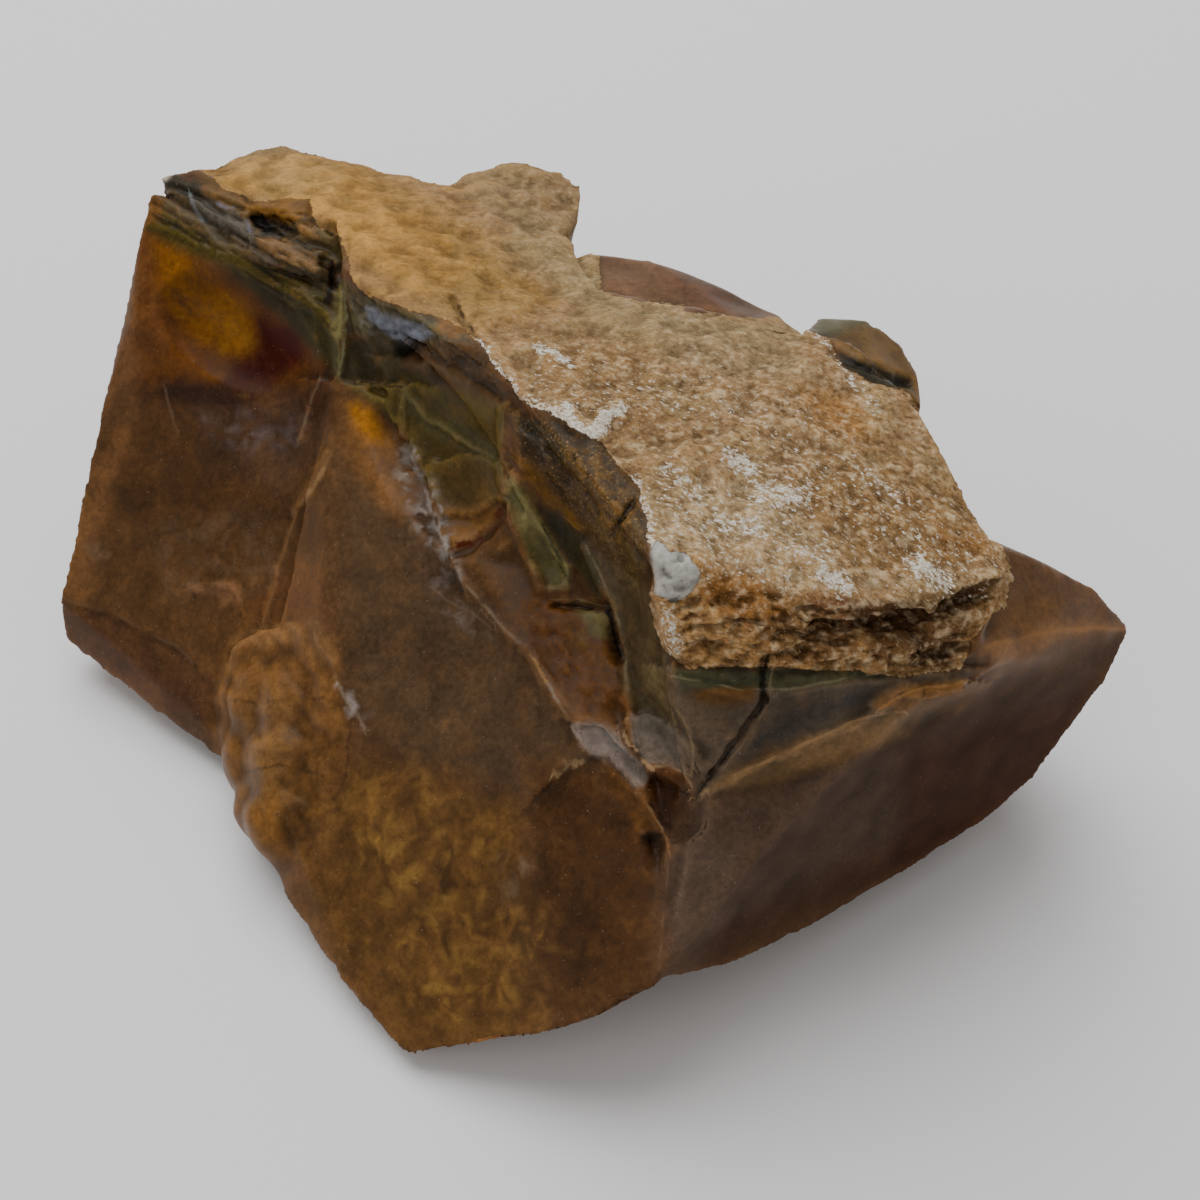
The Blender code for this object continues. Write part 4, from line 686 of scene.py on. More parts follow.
# thin dark marks, given likewise: the dark lines of the layers and the dark red crescent, and
# painted shade in cracks, crevices, the slot and the creases between the lumps; hollow_shadow and
# strip_shadow are painted shadows
DARK_LINES_AND_CREVICE_SHADE = {
    "notch_arc": ((30, 16, 8), 1.1, 0.8, at(644, 788, 656, 785, 670, 788, 686, 794)),
    "layer_line_3": ((22, 18, 12), 1.4, 0.5, at(178, 200, 206, 222, 244, 246, 262, 258)),
    "hollow_shadow": ((26, 20, 12), 1.4, 0.7, at(342, 382, 372, 386, 401, 386)),
    "crescent": ((72, 24, 4), 4.5, 0.95, at(456, 548, 474, 542, 490, 528, 500, 512)),
    # painted shade in the trough's crack and notch and in the wall's crack
    "trough_crack": ((14, 10, 6), 1.6, 0.9, at(557, 605, 580, 606, 607, 612)),
    "trough_notch": ((18, 12, 6), 3.0, 0.9, at(608, 606, 614, 630, 619, 654)),
    "wall_crack": ((14, 10, 8), 1.6, 0.9, at(632, 501, 622, 516, 612, 534)),
    "strip_shadow": ((30, 26, 16), 2.4, 0.7, at(572, 600, 560, 560, 540, 520)),
    # painted shade in the cliff's cracks
    "k_crack_top": ((20, 12, 8), 2.4, 0.9, at(769, 656, 763, 685, 766, 702)),
    "k_crack": ((18, 12, 8), 1.4, 0.9, at(766, 700, 752, 722, 739, 737, 720, 764)),
    "k_crack_foot": ((22, 14, 10), 1.0, 0.9, at(722, 762, 706, 782, 694, 797)),
    "rind_crack": ((34, 24, 16), 2.2, 0.8, at(455, 300, 463, 318, 480, 340)),
    # near black painted shade in the crevice and in the slot beside the fin
    "crevice": ((12, 10, 8), 3.2, 0.9, at(252, 218, 272, 220, 292, 230)),
    "slot": ((16, 12, 8), 3.0, 0.9, at(333, 264, 331, 280, 327, 292)),
    "layer_line": ((30, 28, 22), 1.4, 0.5, at(176, 196, 210, 222, 250, 244, 300, 270, 330, 282)),
    "layer_line_2": ((34, 30, 22), 1.2, 0.45, at(160, 214, 200, 240, 250, 262, 300, 296,
        334, 330)),
    "facet_line": ((34, 24, 16), 1.0, 0.4, at(632, 722, 640, 750, 664, 768)),
    "prow_line": ((30, 20, 14), 1.0, 0.35, at(672, 808, 668, 840, 664, 866)),
    # painted shade in the creases between the lumps
    "knob_gap_shade_1": ((52, 32, 16), 2.0, 0.4, at(232, 700, 262, 704, 290, 696, 330, 700)),
    "knob_gap_shade_2": ((52, 32, 16), 2.0, 0.4, at(246, 772, 284, 764, 322, 776)),
    "knob_right": ((54, 34, 18), 1.8, 0.4, at(350, 722, 345, 780, 325, 818, 305, 858)),
    # painted shade in the lump's crevice
    "lump_line": ((20, 16, 12), 2.0, 0.8, at(836, 352, 862, 366, 905, 380)),
    "cliff_line": ((40, 26, 16), 1.4, 0.5, at(720, 616, 770, 626, 846, 640)),
    "cliff_line_2": ((44, 30, 20), 1.2, 0.4, at(690, 640, 760, 652, 850, 652, 896, 646)),
    "cliff_line_3": ((36, 24, 16), 1.6, 0.6, at(868, 632, 920, 618, 960, 604, 1000, 588)),
}

# --- small tools ----------------------------------------------------------------------------


def ramp(x, low, high):
    """0 below low and 1 above high, with a smooth rise between them."""
    t = np.clip((x - low) / (high - low), 0, 1)
    return t * t * (3 - 2 * t)


def linear(colour):
    """A colour as it is mixed, from one of three numbers up to 255."""
    c = np.array(colour, float) / 255
    return np.where(c <= 0.04045, c / 12.92, ((c + 0.055) / 1.055) ** 2.4)


def patches(target, colour, amount):
    """Mixes a colour in, by an amount from 0 to 1 for each vertex."""
    return target * (1 - amount[:, None]) + linear(colour) * amount[:, None]


def fractal(points, scale, hurst, octaves):
    return np.array([noise.fractal(Vector(p) * scale, hurst, 2.0, octaves) for p in points])


def two_fractals(points, offsets, *shape):
    return np.stack([fractal(points + offset, *shape) for offset in offsets], 1)


def points_of(mesh):
    """Vertex positions in mm, in the frame that the corners are given in."""
    flat = np.empty(len(mesh.vertices) * 3, np.float32)
    mesh.vertices.foreach_get("co", flat)
    return flat.reshape(-1, 3).astype(float) / MM - np.array(SHIFT)


def put_points(mesh, points):
    flat = ((points + np.array(SHIFT)) * MM).astype(np.float32).ravel()
    mesh.vertices.foreach_set("co", flat)
    mesh.update()


def normals_of(mesh):
    flat = np.empty(len(mesh.vertices) * 3, np.float32)
    mesh.vertex_normals.foreach_get("vector", flat)
    return flat.reshape(-1, 3).astype(float)


def edges_of(mesh):
    flat = np.empty(len(mesh.edges) * 2, np.int32)
    mesh.edges.foreach_get("vertices", flat)
    return flat.reshape(-1, 2)


def around(values, edges):
    """Mean over each vertex's neighbours."""
    count = len(values)
    number = np.bincount(edges.ravel(), minlength=count).astype(float)
    a, b = edges.T
    rows = values.reshape(count, -1).T
    sums = [np.bincount(a, row[b], count) + np.bincount(b, row[a], count) for row in rows]
    return (np.stack(sums, 1) / number[:, None]).reshape(values.shape)


def proud(mesh, rounds):
    """How far each vertex stands out of its smoothed surroundings, in mm."""
    points, edges = points_of(mesh), edges_of(mesh)
    smooth = points
    for _ in range(rounds):
        smooth = around(smooth, edges)
    return np.einsum("ij,ij->i", points - smooth, normals_of(mesh))


# --- the picture ----------------------------------------------------------------------------


def picture_places(points):
    """Where each point, in mm, shows in the picture, in px."""
    away = points - np.array(VIEW_FROM)
    scale = VIEW_DISTANCE / VIEW_HALF / -(away @ np.array(VIEW_BACK))
    u = PICTURE / 2 * (1 + away @ np.array(VIEW_RIGHT) * scale)
    v = PICTURE / 2 * (1 - away @ np.array(VIEW_UP) * scale)
    return np.stack([u, v], 1)


def seen_from_camera(mesh, points):
    """1 for each vertex that nothing hides from the camera, and 0 for the others."""
    faces = [tuple(face.vertices) for face in mesh.polygons]
    tree = BVHTree.FromPolygons([tuple(point) for point in points], faces)
    seen = np.zeros(len(points))
    facing = np.einsum("ij,ij->i", normals_of(mesh), np.array(VIEW_FROM) - points) > 0
    for i in np.flatnonzero(facing):
        way = Vector(points[i]) - VIEW_FROM
        hit = tree.ray_cast(VIEW_FROM, way.normalized(), way.length - SEEN_GAP)
        seen[i] = hit[0] is None
    return seen


def nearest_on_line(places, line):
    """Distance in px from each place to a broken line, and the side of it, 1 or -1."""
    best, side = np.full(len(places), np.inf), np.ones(len(places))
    for a, b in zip(np.array(line[:-1], float), np.array(line[1:], float)):
        step = b - a
        t = np.clip(((places - a) @ step) / (step @ step), 0, 1)
        off = places - a - t[:, None] * step
        gap = np.linalg.norm(off, axis=1)
        turn = step[0] * off[:, 1] - step[1] * off[:, 0]
        nearer = gap < best
        side = np.where(nearer, np.where(turn < 0, -1.0, 1.0), side)
        best = np.minimum(best, gap)
    return best, side


def gap_to_line(places, line):
    return nearest_on_line(places, line)[0]


def inside(places, outline):
    """Signed distance in px to an outline, positive inside it."""
    gap = gap_to_line(places, outline + outline[:1])
    within = np.zeros(len(places), bool)
    x, y = places.T
    for (ax, ay), (bx, by) in zip(outline, outline[1:] + outline[:1]):
        if ay != by:
            crosses = (ay > y) != (by > y)
            within ^= crosses & (x < (bx - ax) * (y - ay) / (by - ay) + ax)
    return np.where(within, gap, -gap)


# --- the stone's shape ----------------------------------------------------------------------


def thing_of(cage, name):
    mesh = bpy.data.meshes.new(name)
    cage.to_mesh(mesh)
    cage.free()
    return bpy.data.objects.new(name, mesh)


def block(name, corners):
    """A convex block round named corners."""
    cage = bmesh.new()
    for corner in corners.values():
        cage.verts.new((Vector(corner) + SHIFT) * MM)
    made = bmesh.ops.convex_hull(cage, input=cage.verts)
    spare = set(made["geom_interior"] + made["geom_unused"])
    loose = [v for v in spare if isinstance(v, bmesh.types.BMVert)]
    bmesh.ops.delete(cage, geom=loose, context="VERTS")
    bmesh.ops.recalc_face_normals(cage, faces=cage.faces)
    return thing_of(cage, name)


def boulder(name, centre, radii):
    """A rounded lump with three radii."""
    ball = bmesh.new()
    bmesh.ops.create_icosphere(ball, subdivisions=3, radius=MM)
    bmesh.ops.scale(ball, vec=Vector(radii), verts=ball.verts)
    bmesh.ops.translate(ball, vec=(Vector(centre) + SHIFT) * MM, verts=ball.verts)
    return thing_of(ball, name)


def scar(name, end_a, end_b, side, depth):
    """A turned bowl, made oval, whose rim passes through both ends and the side point."""
    a, b, c = (Vector(p) + SHIFT for p in (end_a, end_b, side))
    middle = (a + b) / 2
    half = (b - a).length / 2
    along = (b - a).normalized()
    across = (c - middle) - along * (c - middle).dot(along)
    reach = (c - middle).dot(along) / half
    width = across.length / math.sqrt(1 - reach * reach)
    across.normalize()
    out = along.cross(across)
    if out.dot(middle - MIDDLE) < 0:
        across, out = -across, -out
    profile = [(0.0, SCAR_SKY), (SCAR_RIM * 1.03 * half, SCAR_SKY)]
    for i in range(SCAR_RINGS + 1):
        r = SCAR_RIM * (1 - i / SCAR_RINGS)
        profile.append((r * half, depth * (r * r - 1)))
    mesh = bpy.data.meshes.new(name)
    points = [(x * MM, 0.0, z * MM) for x, z in profile]
    mesh.from_pydata(points, [(i, i + 1) for i in range(len(points) - 1)], [])
    bowl = bpy.data.objects.new(name, mesh)
    turn = bowl.modifiers.new("turn", "SCREW")
    turn.axis = "Z"
    turn.steps = turn.render_steps = SCAR_TURNS
    turn.use_merge_vertices = True
    turn.merge_threshold = 0.00001
    placing = Matrix((along, across, out)).transposed().to_4x4()
    placing.translation = middle * MM
    bowl.matrix_world = placing @ Matrix.Diagonal((1.0, width / half, 1.0, 1.0))
    return bowl


def settle(thing):
    """Turns a thing's modifiers into its mesh."""
    bpy.context.view_layer.update()
    graph = bpy.context.evaluated_depsgraph_get()
    mesh = bpy.data.meshes.new_from_object(thing.evaluated_get(graph))
    thing.modifiers.clear()
    thing.data = mesh


def carve():
    """Joins the masses on and takes the scars and hollows away, in their order."""
    stone = block("stone", MASSES[ORDER[0]])
    bpy.context.scene.collection.objects.link(stone)
    tools = []
    for name in ORDER[1:]:
        if name in SCARS:
            tool = scar(name, *SCARS[name])
        elif name in BOULDERS:
            tool = boulder(name, *BOULDERS[name])
        else:
            tool = block(name, MASSES.get(name) or HOLLOWS[name])
        bpy.context.scene.collection.objects.link(tool)
        tools.append(tool)
        step = stone.modifiers.new(name, "BOOLEAN")
        step.operation = "UNION" if name in MASSES or name in BOULDERS else "DIFFERENCE"
        step.solver = "EXACT"
        step.object = tool
    settle(stone)
    for tool in tools:
        bpy.data.objects.remove(tool)
    grid = stone.modifiers.new("grid", "REMESH")
    grid.mode = "VOXEL"
    grid.voxel_size = GRID * MM
    settle(stone)
    return stone


def soften(mesh, rounds=6, keep=0.93, share=0.6):
    """Rounds the shallow folds, and leaves an edge sharp where the normals agree less than keep."""
    edges = edges_of(mesh)
    for _ in range(rounds):
        points, normals = points_of(mesh), normals_of(mesh)
        agree = np.einsum("ij,ij->i", normals[edges[:, 0]], normals[edges[:, 1]])
        least = np.ones(len(points))
        for ends in edges.T:
            np.minimum.at(least, ends, agree)
        move = (least > keep)[:, None] * share
        put_points(mesh, points + (around(points, edges) - points) * move)


def run_together(mesh, rounds=10):
    """Rounds the folds between the knobbly lumps, which run into one another."""
    points = points_of(mesh)
    near = np.zeros(len(points))
    for centre, radii in BOULDERS.values():
        reach = np.linalg.norm((points - centre) / (np.array(radii) + 1.0), axis=1)
        near = np.maximum(near, ramp(-reach, -1.25, -1.0))
    edges = edges_of(mesh)
    for _ in range(rounds):
        points = points + (around(points, edges) - points) * near[:, None]
    put_points(mesh, points)


def rind_cover(p):
    """1 on the rind's height, which falls to the sides and the back, and 0 from 5 mm under it."""
    x, y, z = p.T
    under = 45.0 - 0.11 * np.abs(x + 2.0) - 0.16 * np.maximum(0.0, y) - z
    return np.clip(1.0 - under / 5.0, 0.0, 1.0)


def weather(mesh):
    """A slight swell all over, and pits, grain, holes and flakes on the rind."""
    points, normals = points_of(mesh), normals_of(mesh)
    cover = rind_cover(points) * ramp(inside(picture_places(points), RIND_OUTLINE), -6, 6)
    swell = fractal(points, 0.09, 0.9, 3) * 0.25
    swell += fractal(points, 0.22, 0.9, 2) * 0.6 * cover
    near = cover > 0
    x, y, _ = points[near].T
    coarse = (0.3 + 0.7 * ramp(x, -24.0, 4.0)) * (1 - 0.5 * ramp(y, 0.0, 16.0))
    grain = fractal(points[near], 1.2, 0.5, 2) * 0.05
    holes = ramp(-fractal(points[near] + 9.0, 0.45, 0.6, 4), 0.35, 0.65) * 0.14
    level = fractal(points[near], 0.34, 0.8, 4) * 4.0
    flakes = (np.floor(level) + ramp(level - np.floor(level), 0.3, 0.7)) * 0.04
    swell[near] += ((grain - holes) * coarse + flakes) * cover[near]
    put_points(mesh, points + normals * swell[:, None])


def streaks(places, long, wide, angle, octaves):
    """Noise whose lumps are long in one direction of the picture."""
    turn = math.radians(angle)
    x, y = places.T
    along = x * math.cos(turn) + y * math.sin(turn)
    across = y * math.cos(turn) - x * math.sin(turn)
    flat = np.stack([along / long, across / wide, np.full(len(places), long + 0.3 * wide)], 1)
    return fractal(flat, 1.0, 0.7, octaves)


def add_relief(mesh):
    """Ridges, cracks, steps and rough zones, wherever the camera sees the stone."""
    points, normals = points_of(mesh), normals_of(mesh)
    places = picture_places(points)
    seen = seen_from_camera(mesh, points)
    shaken = places + two_fractals(points, (11.0, -23.0), 0.5, 0.7, 3) * 2.5
    lift = np.zeros(len(points))
    for height, reach, line in RIDGES.values():
        lift += height * np.exp(-((gap_to_line(shaken, line) / reach) ** 2)) * seen
    for height, reach, line in STEPS.values():
        gap, side = nearest_on_line(shaken, line)
        to_ends = [np.linalg.norm(shaken - end, axis=1) for end in (line[0], line[-1])]
        fading = (1 - ramp(gap, 3, reach)) * ramp(np.minimum(*to_ends), 0, 8)
        lift -= height * ramp(gap * side, -1.5, 1.5) * fading * seen
    for height, long, wide, angle, octaves, outline in ROUGH.values():
        cover = ramp(inside(shaken, outline), -4, 12) * seen
        near = cover > 0
        lift[near] += height * streaks(places[near], long, wide, angle, octaves) * cover[near]
    put_points(mesh, points + normals * lift[:, None])


def chip_edges(mesh):
    """Takes small uneven chips, up to 0.6 mm deep, off the sharp edges."""
    sharp = ramp(proud(mesh, 10), 0.10, 0.30)
    points, normals = points_of(mesh), normals_of(mesh)
    bite = np.zeros(len(points))
    near = sharp > 0
    bite[near] = np.clip(fractal(points[near], 0.28, 0.8, 4) + 0.05, 0, 1)
    put_points(mesh, points - normals * (0.6 * bite * sharp)[:, None])


def thin_out(stone):
    thin = stone.modifiers.new("thin", "DECIMATE")
    thin.ratio = min(1.0, TRIANGLES / (2 * len(stone.data.polygons)))
    settle(stone)


def keep_in_box(mesh):
    """Presses the rest spot flat and keeps the stone inside the CAD box."""
    p = points_of(mesh)
    p[:, 2] = np.where(p[:, 2] < FLAT, 0.0, p[:, 2])
    low, high = np.array((cad_low, cad_high)) / MM - np.array(SHIFT)
    put_points(mesh, np.clip(p, low + (CAD_GAP, CAD_GAP, 0.0), high - CAD_GAP))


stone = carve()
for step in (soften, run_together, weather, add_relief, chip_edges):
    step(stone.data)
thin_out(stone)
keep_in_box(stone.data)
stone.name = "stone"
for polygon in stone.data.polygons:
    polygon.use_smooth = True

# --- painting: each vertex gets its colours and shares ----------------------------------------

BROWN, GLOW = (80, 54, 32), (130, 88, 44)       # the glassy part where no zone lies, and its bands
GOLD_FLECK, GOLD_SHADE = (128, 96, 44), (50, 32, 14)
WARM_FLECK, DARK_FLECK = (108, 72, 36), (36, 24, 15)
RIND, RIND_PITS = (150, 119, 82), (78, 52, 30)
RIND_BROWN, RIND_GOLD = (116, 86, 52), (192, 146, 80)
RIND_PALE, RIND_OLIVE = (214, 190, 152), (140, 118, 78)

points = points_of(stone.data)
edges = edges_of(stone.data)
count = len(points)
exact_places = picture_places(points)
seen = seen_from_camera(stone.data, points)
wobble = two_fractals(points, (40.0, -70.0), 0.35, 0.8, 4)
places = exact_places + wobble * 4.0
line_places = exact_places + wobble * 1.8

# noises, each read at a place of its own so that no two are alike
broad = fractal(points + 5.0, 0.14, 0.8, 3)
middle = fractal(points + 17.0, 0.42, 0.7, 4)
fine = fractal(points + 57.0, 0.95, 0.6, 3)
grains = fractal(points - 31.0, 1.6, 0.6, 2)
streaky = fractal((points + 29.0) * np.array((0.35, 1.5, 1.5)), 0.45, 0.7, 4)
bands = fractal(points * np.array((0.4, 0.4, 1.6)), 0.16, 0.8, 3)
flecks = ramp(fractal(points + 63.0, 0.8, 0.6, 4) + 0.4 * middle, -0.15, 0.35)
gaps = ramp(fractal(points + 91.0, 0.55, 0.8, 2), -0.40, 0.05)


def zone(outline, soft, strength=1.0):
    """How much of a zone each vertex that the camera sees has, from 0 to strength."""
    return ramp(inside(places, outline), -soft, soft) * strength * seen


def painted(colours, table, broken=1.0):
    for colour, soft, strength, outline in table.values():
        colours = patches(colours, colour, zone(outline, soft, strength) * broken)
    return colours


def glassy_tint():
    tint = np.outer(1 + 0.25 * bands, linear(BROWN))
    tint = tint + np.outer(np.clip(bands, 0, 1), linear(GLOW) * 0.3)
    tint = painted(tint, AREAS)
    # pale hazes, partly bloom and partly painted sheen, broken into flecks
    tint = painted(tint, HAZE_AND_SHEEN, flecks)
    busy = 1 - 0.85 * np.max([zone(*row) for row in CALM], axis=0)
    gold_zone = ramp(inside(places, GOLD_ZONE), -40, 50) * seen
    gold = ramp(0.5 * streaky + 0.8 * fine + 0.4 * broad, 0.05, 0.60)
    tint = patches(tint, GOLD_FLECK, gold * gold_zone * 0.55)
    tint = patches(tint, GOLD_SHADE, ramp(-fine - 0.3 * streaky, 0.10, 0.60) * gold_zone * 0.42)
    tint = patches(tint, WARM_FLECK, ramp(0.7 * middle + 0.8 * fine, 0.15, 0.75) * 0.22 * busy)
    tint = patches(tint, DARK_FLECK, ramp(-0.7 * middle - 0.6 * fine, 0.15, 0.65) * 0.18 * busy)
    return tint * (1 + 0.30 * broad * busy + 0.10 * fine * busy)[:, None]


def rind_tint():
    """Gold on the left and tan on the right; even is lower at the back, which shows less grain."""
    golden = ramp(-points[:, 0], -2.0, 24.0)
    even = 1 - 0.5 * ramp(points[:, 1], 0.0, 16.0)
    crumbly = ramp(grains - 0.3 * streaky, 0.12, 0.5) * 0.45 * (1 - golden) * even
    tint = painted(np.outer(np.ones(count), linear(RIND)), RIND_AREAS)
    tint = patches(tint, RIND_BROWN, ramp(middle, 0.08, 0.42) * 0.40)
    tint = patches(tint, RIND_GOLD, ramp(-streaky, 0.05, 0.42) * 0.50 * golden)
    tint = patches(tint, RIND_PALE, crumbly)
    tint = patches(tint, RIND_OLIVE, ramp(broad, 0.15, 0.45) * 0.30)
    tint = patches(tint, RIND_PITS, ramp(-grains - 0.5 * middle, 0.25, 0.6) * 0.50 * even)
    return tint * (1.03 + 0.14 * streaky * golden + 0.12 * middle)[:, None]


def rind_share():
    """Where the rind is: its outline where the camera sees it, and its height elsewhere."""
    hidden = ramp(rind_cover(points) + wobble[:, 0] * 0.25, 0.35, 0.6)
    shown = ramp(inside(places, RIND_OUTLINE), -3, 3) * (1 - ramp(inside(places, CRYSTALS), -3, 3))
    return hidden * (1 - seen) + shown * seen


def chalk():
    white = np.zeros(count)
    for reach, strength, line in CRUST.values():
        near = 1 - ramp(gap_to_line(places, line), 0, reach * 1.7)
        white = np.maximum(white, strength * near * seen)
    return white


def settle_hidden(values, rounds=24, keep=0.93):
    """Carries what the camera sees a little way on to what it doesn't."""
    rows = values.reshape(count, -1)
    hidden = seen < 0.5
    weight, carried = seen.copy(), rows * seen[:, None]
    for _ in range(rounds):
        more, more_weight = around(carried, edges), around(weight, edges)
        carried[hidden] = more[hidden] * keep
        weight[hidden] = more_weight[hidden] * keep
    share = np.where(hidden, np.clip(weight, 0, 1), 1.0)[:, None]
    mean = carried / np.maximum(weight, 1e-6)[:, None]
    return (rows * (1 - share) + mean * share).reshape(values.shape)


def thin_marks(table):
    """Side, closeness and colour of the nearest thin mark, for the material to draw it sharp."""
    best, side = np.full(count, np.inf), np.full(count, 9.0)
    close, colours = np.zeros(count), np.zeros((count, 3))
    for colour, half, strength, line in table.values():
        gap, turn = nearest_on_line(line_places, line)
        nearer = gap - half < best
        best = np.where(nearer, gap - half, best)
        side = np.where(nearer, np.clip(gap * turn / half, -9, 9), side)
        near = strength * (1 - ramp(gap - half, 3.5, 8.0)) * gaps * seen
        close = np.where(nearer, near, close)
        colours[nearer] = linear(colour)
    return {"side": side, "close": close, "tint": colours}


def store(name, values):
    if values.ndim == 1:
        layer = stone.data.attributes.new(name, "FLOAT", "POINT")
        layer.data.foreach_set("value", values.astype(np.float32))
    else:
        layer = stone.data.attributes.new(name, "FLOAT_COLOR", "POINT")
        full = np.ones((count, 4), np.float32)
        full[:, :3] = values
        layer.data.foreach_set("color", full.ravel())


# how far each vertex stands out, near by and further off; below, this paints shade into hollows and
# highlight onto proud edges
near_edges = np.clip(proud(stone.data, 4) / 0.07, -1, 1)
wide_edges = np.clip(proud(stone.data, 14) / 0.22, -1, 1)
store("tint", settle_hidden(glassy_tint()))
store("rind_tint", settle_hidden(rind_tint()))
store("rind", settle_hidden(rind_share()))
store("white", chalk())
store("hollow_shade_and_edge_light", near_edges * 0.6 + wide_edges * 0.4)
store("matte", zone(MATTE, 12))
store("sandy", ramp(inside(places, SANDY), -8, 14) * seen)
# pale marks, partly painted highlight and glow on edges; dark marks, partly painted shade in cracks
# and crevices
for kind, table in (("pale", PALE_LINES_HIGHLIGHTS_AND_GLOW), ("dark", DARK_LINES_AND_CREVICE_SHADE)):
    for name, values in thin_marks(table).items():
        store(f"{kind}_{name}", values)

# --- the material -----------------------------------------------------------------------------

MOTTLED, DRAWN_OUT = 1.8, -32          # lumps in each mm, and the angle that the rind runs at
GLASS_SPECK, GLASS_PIT, SAND = (146, 130, 112), (28, 18, 12), (142, 110, 66)
CRUMB, CRUMB_GAP = (200, 176, 140), (66, 44, 24)
CHALK_SHADE, CHALK = (178, 164, 144), (226, 220, 208)

material = bpy.data.materials.new("banded_silica_and_rind")
material.use_nodes = True
tree = material.node_tree
shader = tree.nodes["Principled BSDF"]


def node(kind, **settings):
    made = tree.nodes.new(kind)
    for key, value in settings.items():
        if key in made.inputs:
            made.inputs[key].default_value = value
        else:
            setattr(made, key, value)
    return made


def feed(sockets, values):
    """Puts a number or a colour on each socket, or wires another node's output to it."""
    for socket, value in zip(sockets, values):
        if isinstance(value, (int, float)):
            socket.default_value = value
        elif isinstance(value, tuple):
            socket.default_value = (*linear(value), 1.0)
        else:
            tree.links.new(value, socket)


def read(name):
    made = node("ShaderNodeAttribute", attribute_name=name)
    return made.outputs["Color" if name.endswith("tint") else "Fac"]


def drawn_out(angle, long):
    """Places drawn out along one level direction, at an angle from +X."""
    made = node("ShaderNodeMapping", vector_type="TEXTURE")
    made.inputs["Rotation"].default_value = (0.0, 0.0, math.radians(angle))
    made.inputs["Scale"].default_value = (long, 1.0, 1.0)
    feed([made.inputs["Vector"]], [in_mm])
    return made.outputs[0]


def grain(scale, detail, rough, vector=None):
    made = node("ShaderNodeTexNoise", Scale=scale, Detail=detail, Roughness=rough)
    feed([made.inputs["Vector"]], [vector or in_mm])
    return made.outputs["Fac"]


def window(value, low, high, out_low=0.0, out_high=1.0):
    """Turns low to high into out_low to out_high, smoothly."""
    made = node("ShaderNodeMapRange", clamp=True, interpolation_type="SMOOTHSTEP")
    names = ("Value", "From Min", "From Max", "To Min", "To Max")
    feed([made.inputs[name] for name in names], (value, low, high, out_low, out_high))
    return made.outputs["Result"]


def maths(operation, a, b=0.0):
    made = node("ShaderNodeMath", operation=operation)
    feed(made.inputs, (a, b))
    return made.outputs[0]


def add(a, b):
    return maths("ADD", a, b)


def times(a, b):
    return maths("MULTIPLY", a, b)


def mix(share, a, b, how="MIX"):
    made = node("ShaderNodeMix", data_type="RGBA", blend_type=how)
    feed((made.inputs[0], made.inputs[6], made.inputs[7]), (share, a, b))
    return made.outputs[2]


def shaded(colour, value):
    """A colour made lighter or darker."""
    grey = node("ShaderNodeCombineColor")
    feed(grey.inputs, (value, value, value))
    return mix(1.0, colour, grey.outputs[0], "MULTIPLY")


scaled = node("ShaderNodeVectorMath", operation="SCALE")
place = node("ShaderNodeTexCoord").outputs["Object"]
feed((scaled.inputs[0], scaled.inputs["Scale"]), (place, 1 / MM))
in_mm = scaled.outputs[0]
sides = node("ShaderNodeSeparateXYZ")
feed(sides.inputs, [in_mm])

mottle = grain(MOTTLED, 4.0, 0.65)
specks = grain(4.0, 2.0, 0.5)
granules = grain(3.0, 4.0, 0.72, drawn_out(DRAWN_OUT, 1.7))
crumbs = grain(5.0, 2.0, 0.5, drawn_out(DRAWN_OUT, 1.6))
hollow_shade_and_edge_light = read("hollow_shade_and_edge_light")
to_right = window(sides.outputs[0], -22.0, 6.0, 0.65, 1.0)
coarse = times(to_right, window(sides.outputs[1], 0.0, 16.0, 1.0, 0.65))


def glassy_colour():
    colour = shaded(read("tint"), window(mottle, 0.25, 0.75, 0.78, 1.24))
    colour = mix(window(specks, 0.69, 0.77, 0.0, 0.42), colour, GLASS_SPECK)
    colour = mix(window(specks, 0.34, 0.26, 0.0, 0.5), colour, GLASS_PIT)
    colour = mix(times(window(specks, 0.54, 0.68, 0.0, 0.40), read("sandy")), colour, SAND)
    # painted shade in hollows and painted highlight on proud edges
    return shaded(colour, window(hollow_shade_and_edge_light, -1.0, 1.0, 0.63, 1.38))


def chalk_share():
    """Chalk in broken patches, and none where none is painted."""
    broken = add(window(granules, 0.3, 0.7, -0.45, 0.40), window(mottle, 0.3, 0.7, -0.35, 0.30))
    white = read("white")
    return times(window(add(white, broken), 0.35, 0.66), window(white, 0.02, 0.12))


def rind_colour():
    shade = add(times(window(granules, 0.30, 0.70, -0.27, 0.27), coarse), 1.0)
    colour = shaded(read("rind_tint"), shade)
    colour = mix(times(window(crumbs, 0.61, 0.70, 0.0, 0.38), coarse), colour, CRUMB)
    colour = mix(times(window(crumbs, 0.40, 0.30, 0.0, 0.60), coarse), colour, CRUMB_GAP)
    # painted shade in hollows and painted highlight on proud edges
    colour = shaded(colour, window(hollow_shade_and_edge_light, -1.0, 0.8, 0.62, 1.18))
    return mix(chalk_share(), colour, mix(window(specks, 0.35, 0.65), CHALK_SHADE, CHALK))


def draw_lines(surface, kind):
    """Thin marks, drawn where the signed distance to one is small."""
    gap = maths("ABSOLUTE", read(kind + "_side"))
    ragged = add(gap, window(mottle, 0.3, 0.7, -0.45, 0.75))
    share = times(window(ragged, 0.25, 1.60, 1.0, 0.0), read(kind + "_close"))
    return mix(share, surface, read(kind + "_tint"))


rindy = window(add(read("rind"), window(granules, 0.2, 0.8, -0.3, 0.3)), 0.42, 0.58)
surface = mix(rindy, glassy_colour(), rind_colour())
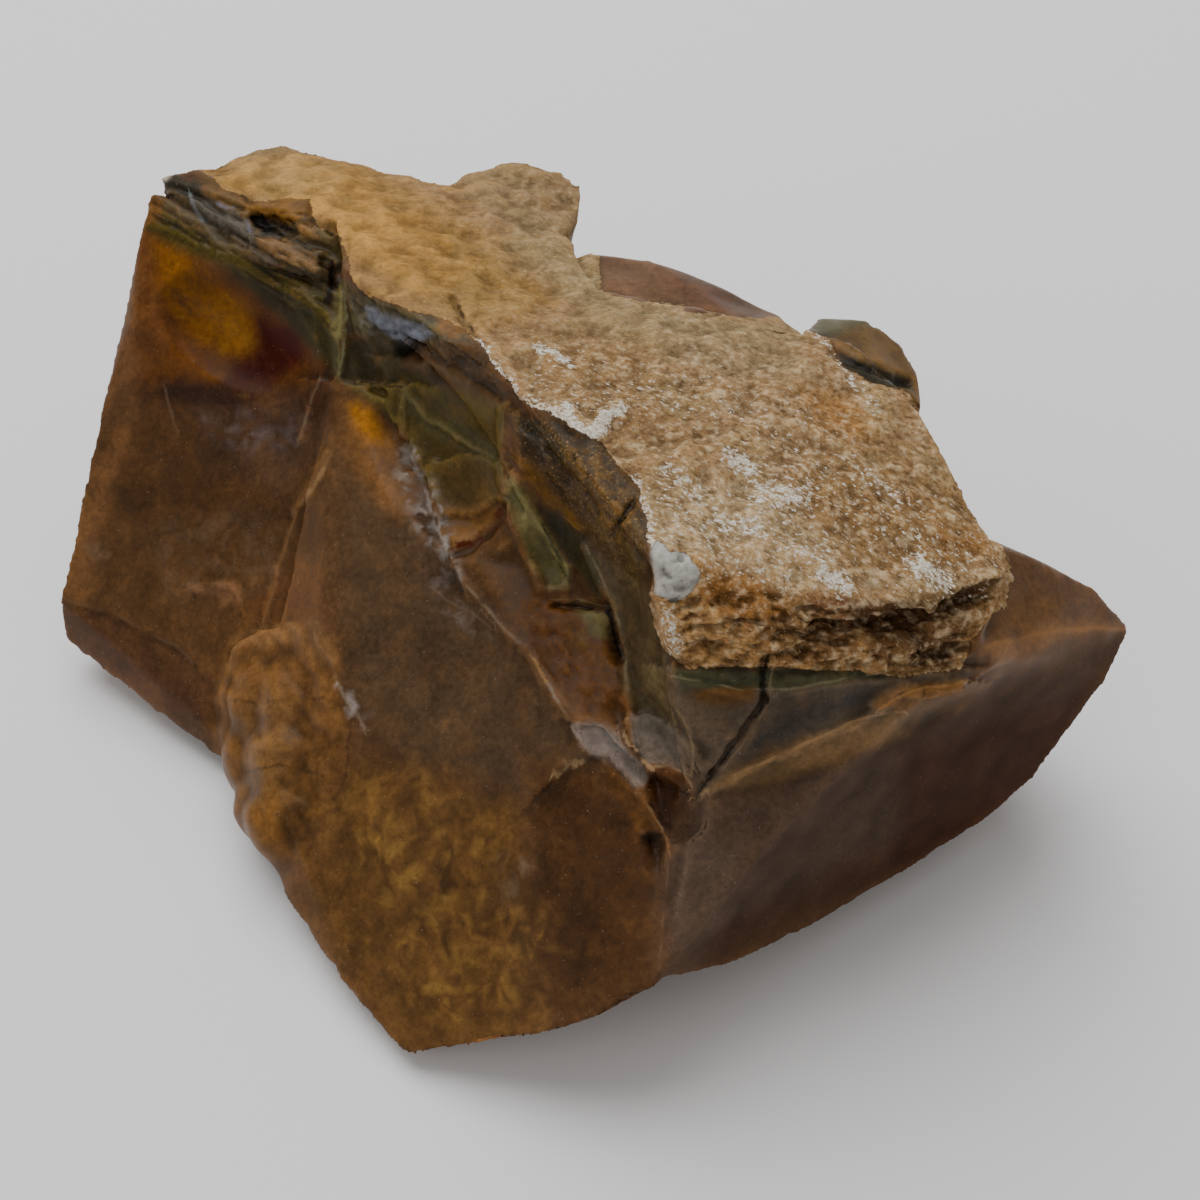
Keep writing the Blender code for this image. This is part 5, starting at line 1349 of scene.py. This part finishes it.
# pale marks, partly painted highlight and glow on edges, then dark marks, partly painted shade in
# cracks and crevices
for kind in ("pale", "dark"):
    surface = draw_lines(surface, kind)
dull = add(times(rindy, 0.48), times(read("matte"), 0.40))
roughness = add(dull, window(mottle, 0.3, 0.7, 0.28, 0.46))

# relief too fine for the mesh, which is faint on the glassy part
height = add(times(granules, 0.17), times(crumbs, 0.07))
relief = node("ShaderNodeBump", Strength=1.0, Distance=0.001)
bumpy = add(times(times(rindy, coarse), 0.95), 0.05)
feed([relief.inputs["Height"]], [times(height, bumpy)])
names = ("Base Color", "Roughness", "Normal", "IOR", "Specular IOR Level")
values = (surface, roughness, relief.outputs["Normal"], 1.45, 0.11)
feed([shader.inputs[name] for name in names], values)

stone.data.materials.clear()
stone.data.materials.append(material)
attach(stone, "root")
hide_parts(NODE)

# --- floor, light and camera ------------------------------------------------------------------

FLOOR_HALF = 3                       # m
SKY_WARMTH, SKY_STRENGTH = (1.0, 0.97, 0.94, 1.0), 0.42
SENSOR = 36.0                        # mm


def link(name, data):
    thing = bpy.data.objects.new(name, data)
    bpy.context.scene.collection.objects.link(thing)
    return thing


def area_light(name, place, size, power):
    """A round light that looks at the origin; metres and watts."""
    lamp = bpy.data.lights.new(name, "AREA")
    lamp.shape = "DISK"
    lamp.size = size
    lamp.energy = power
    thing = link(name, lamp)
    thing.location = place
    thing.rotation_euler = (-Vector(place)).to_track_quat("-Z", "Y").to_euler()


far = FLOOR_HALF
corners = [(-far, -far, 0), (far, -far, 0), (far, far, 0), (-far, far, 0)]
floor_mesh = bpy.data.meshes.new("floor")
floor_mesh.from_pydata(corners, [], [(0, 1, 2, 3)])
floor = link("floor", floor_mesh)
pale = bpy.data.materials.new("pale_floor")
pale.use_nodes = True
pale.node_tree.nodes["Principled BSDF"].inputs["Base Color"].default_value = (0.89, 0.89, 0.90, 1.0)
pale.node_tree.nodes["Principled BSDF"].inputs["Roughness"].default_value = 0.9
floor.data.materials.append(pale)

area_light("sky", (-0.15, 0.35, 0.75), 0.9, 7.4)
area_light("fill", (-0.6, -0.5, 0.5), 0.6, 1.0)
world = bpy.data.worlds.new("room")
world.use_nodes = True
world.node_tree.nodes["Background"].inputs["Color"].default_value = SKY_WARMTH
world.node_tree.nodes["Background"].inputs["Strength"].default_value = SKY_STRENGTH
bpy.context.scene.world = world

lens = bpy.data.cameras.new("camera")
lens.sensor_width = SENSOR
lens.lens = SENSOR / 2 * VIEW_DISTANCE / VIEW_HALF
lens.clip_start = 0.01
lens.clip_end = 10.0
camera = link("camera", lens)
camera.location = (VIEW_FROM + SHIFT) * MM
camera.rotation_euler = (-VIEW_BACK).to_track_quat("-Z", "Y").to_euler()
bpy.context.scene.camera = camera
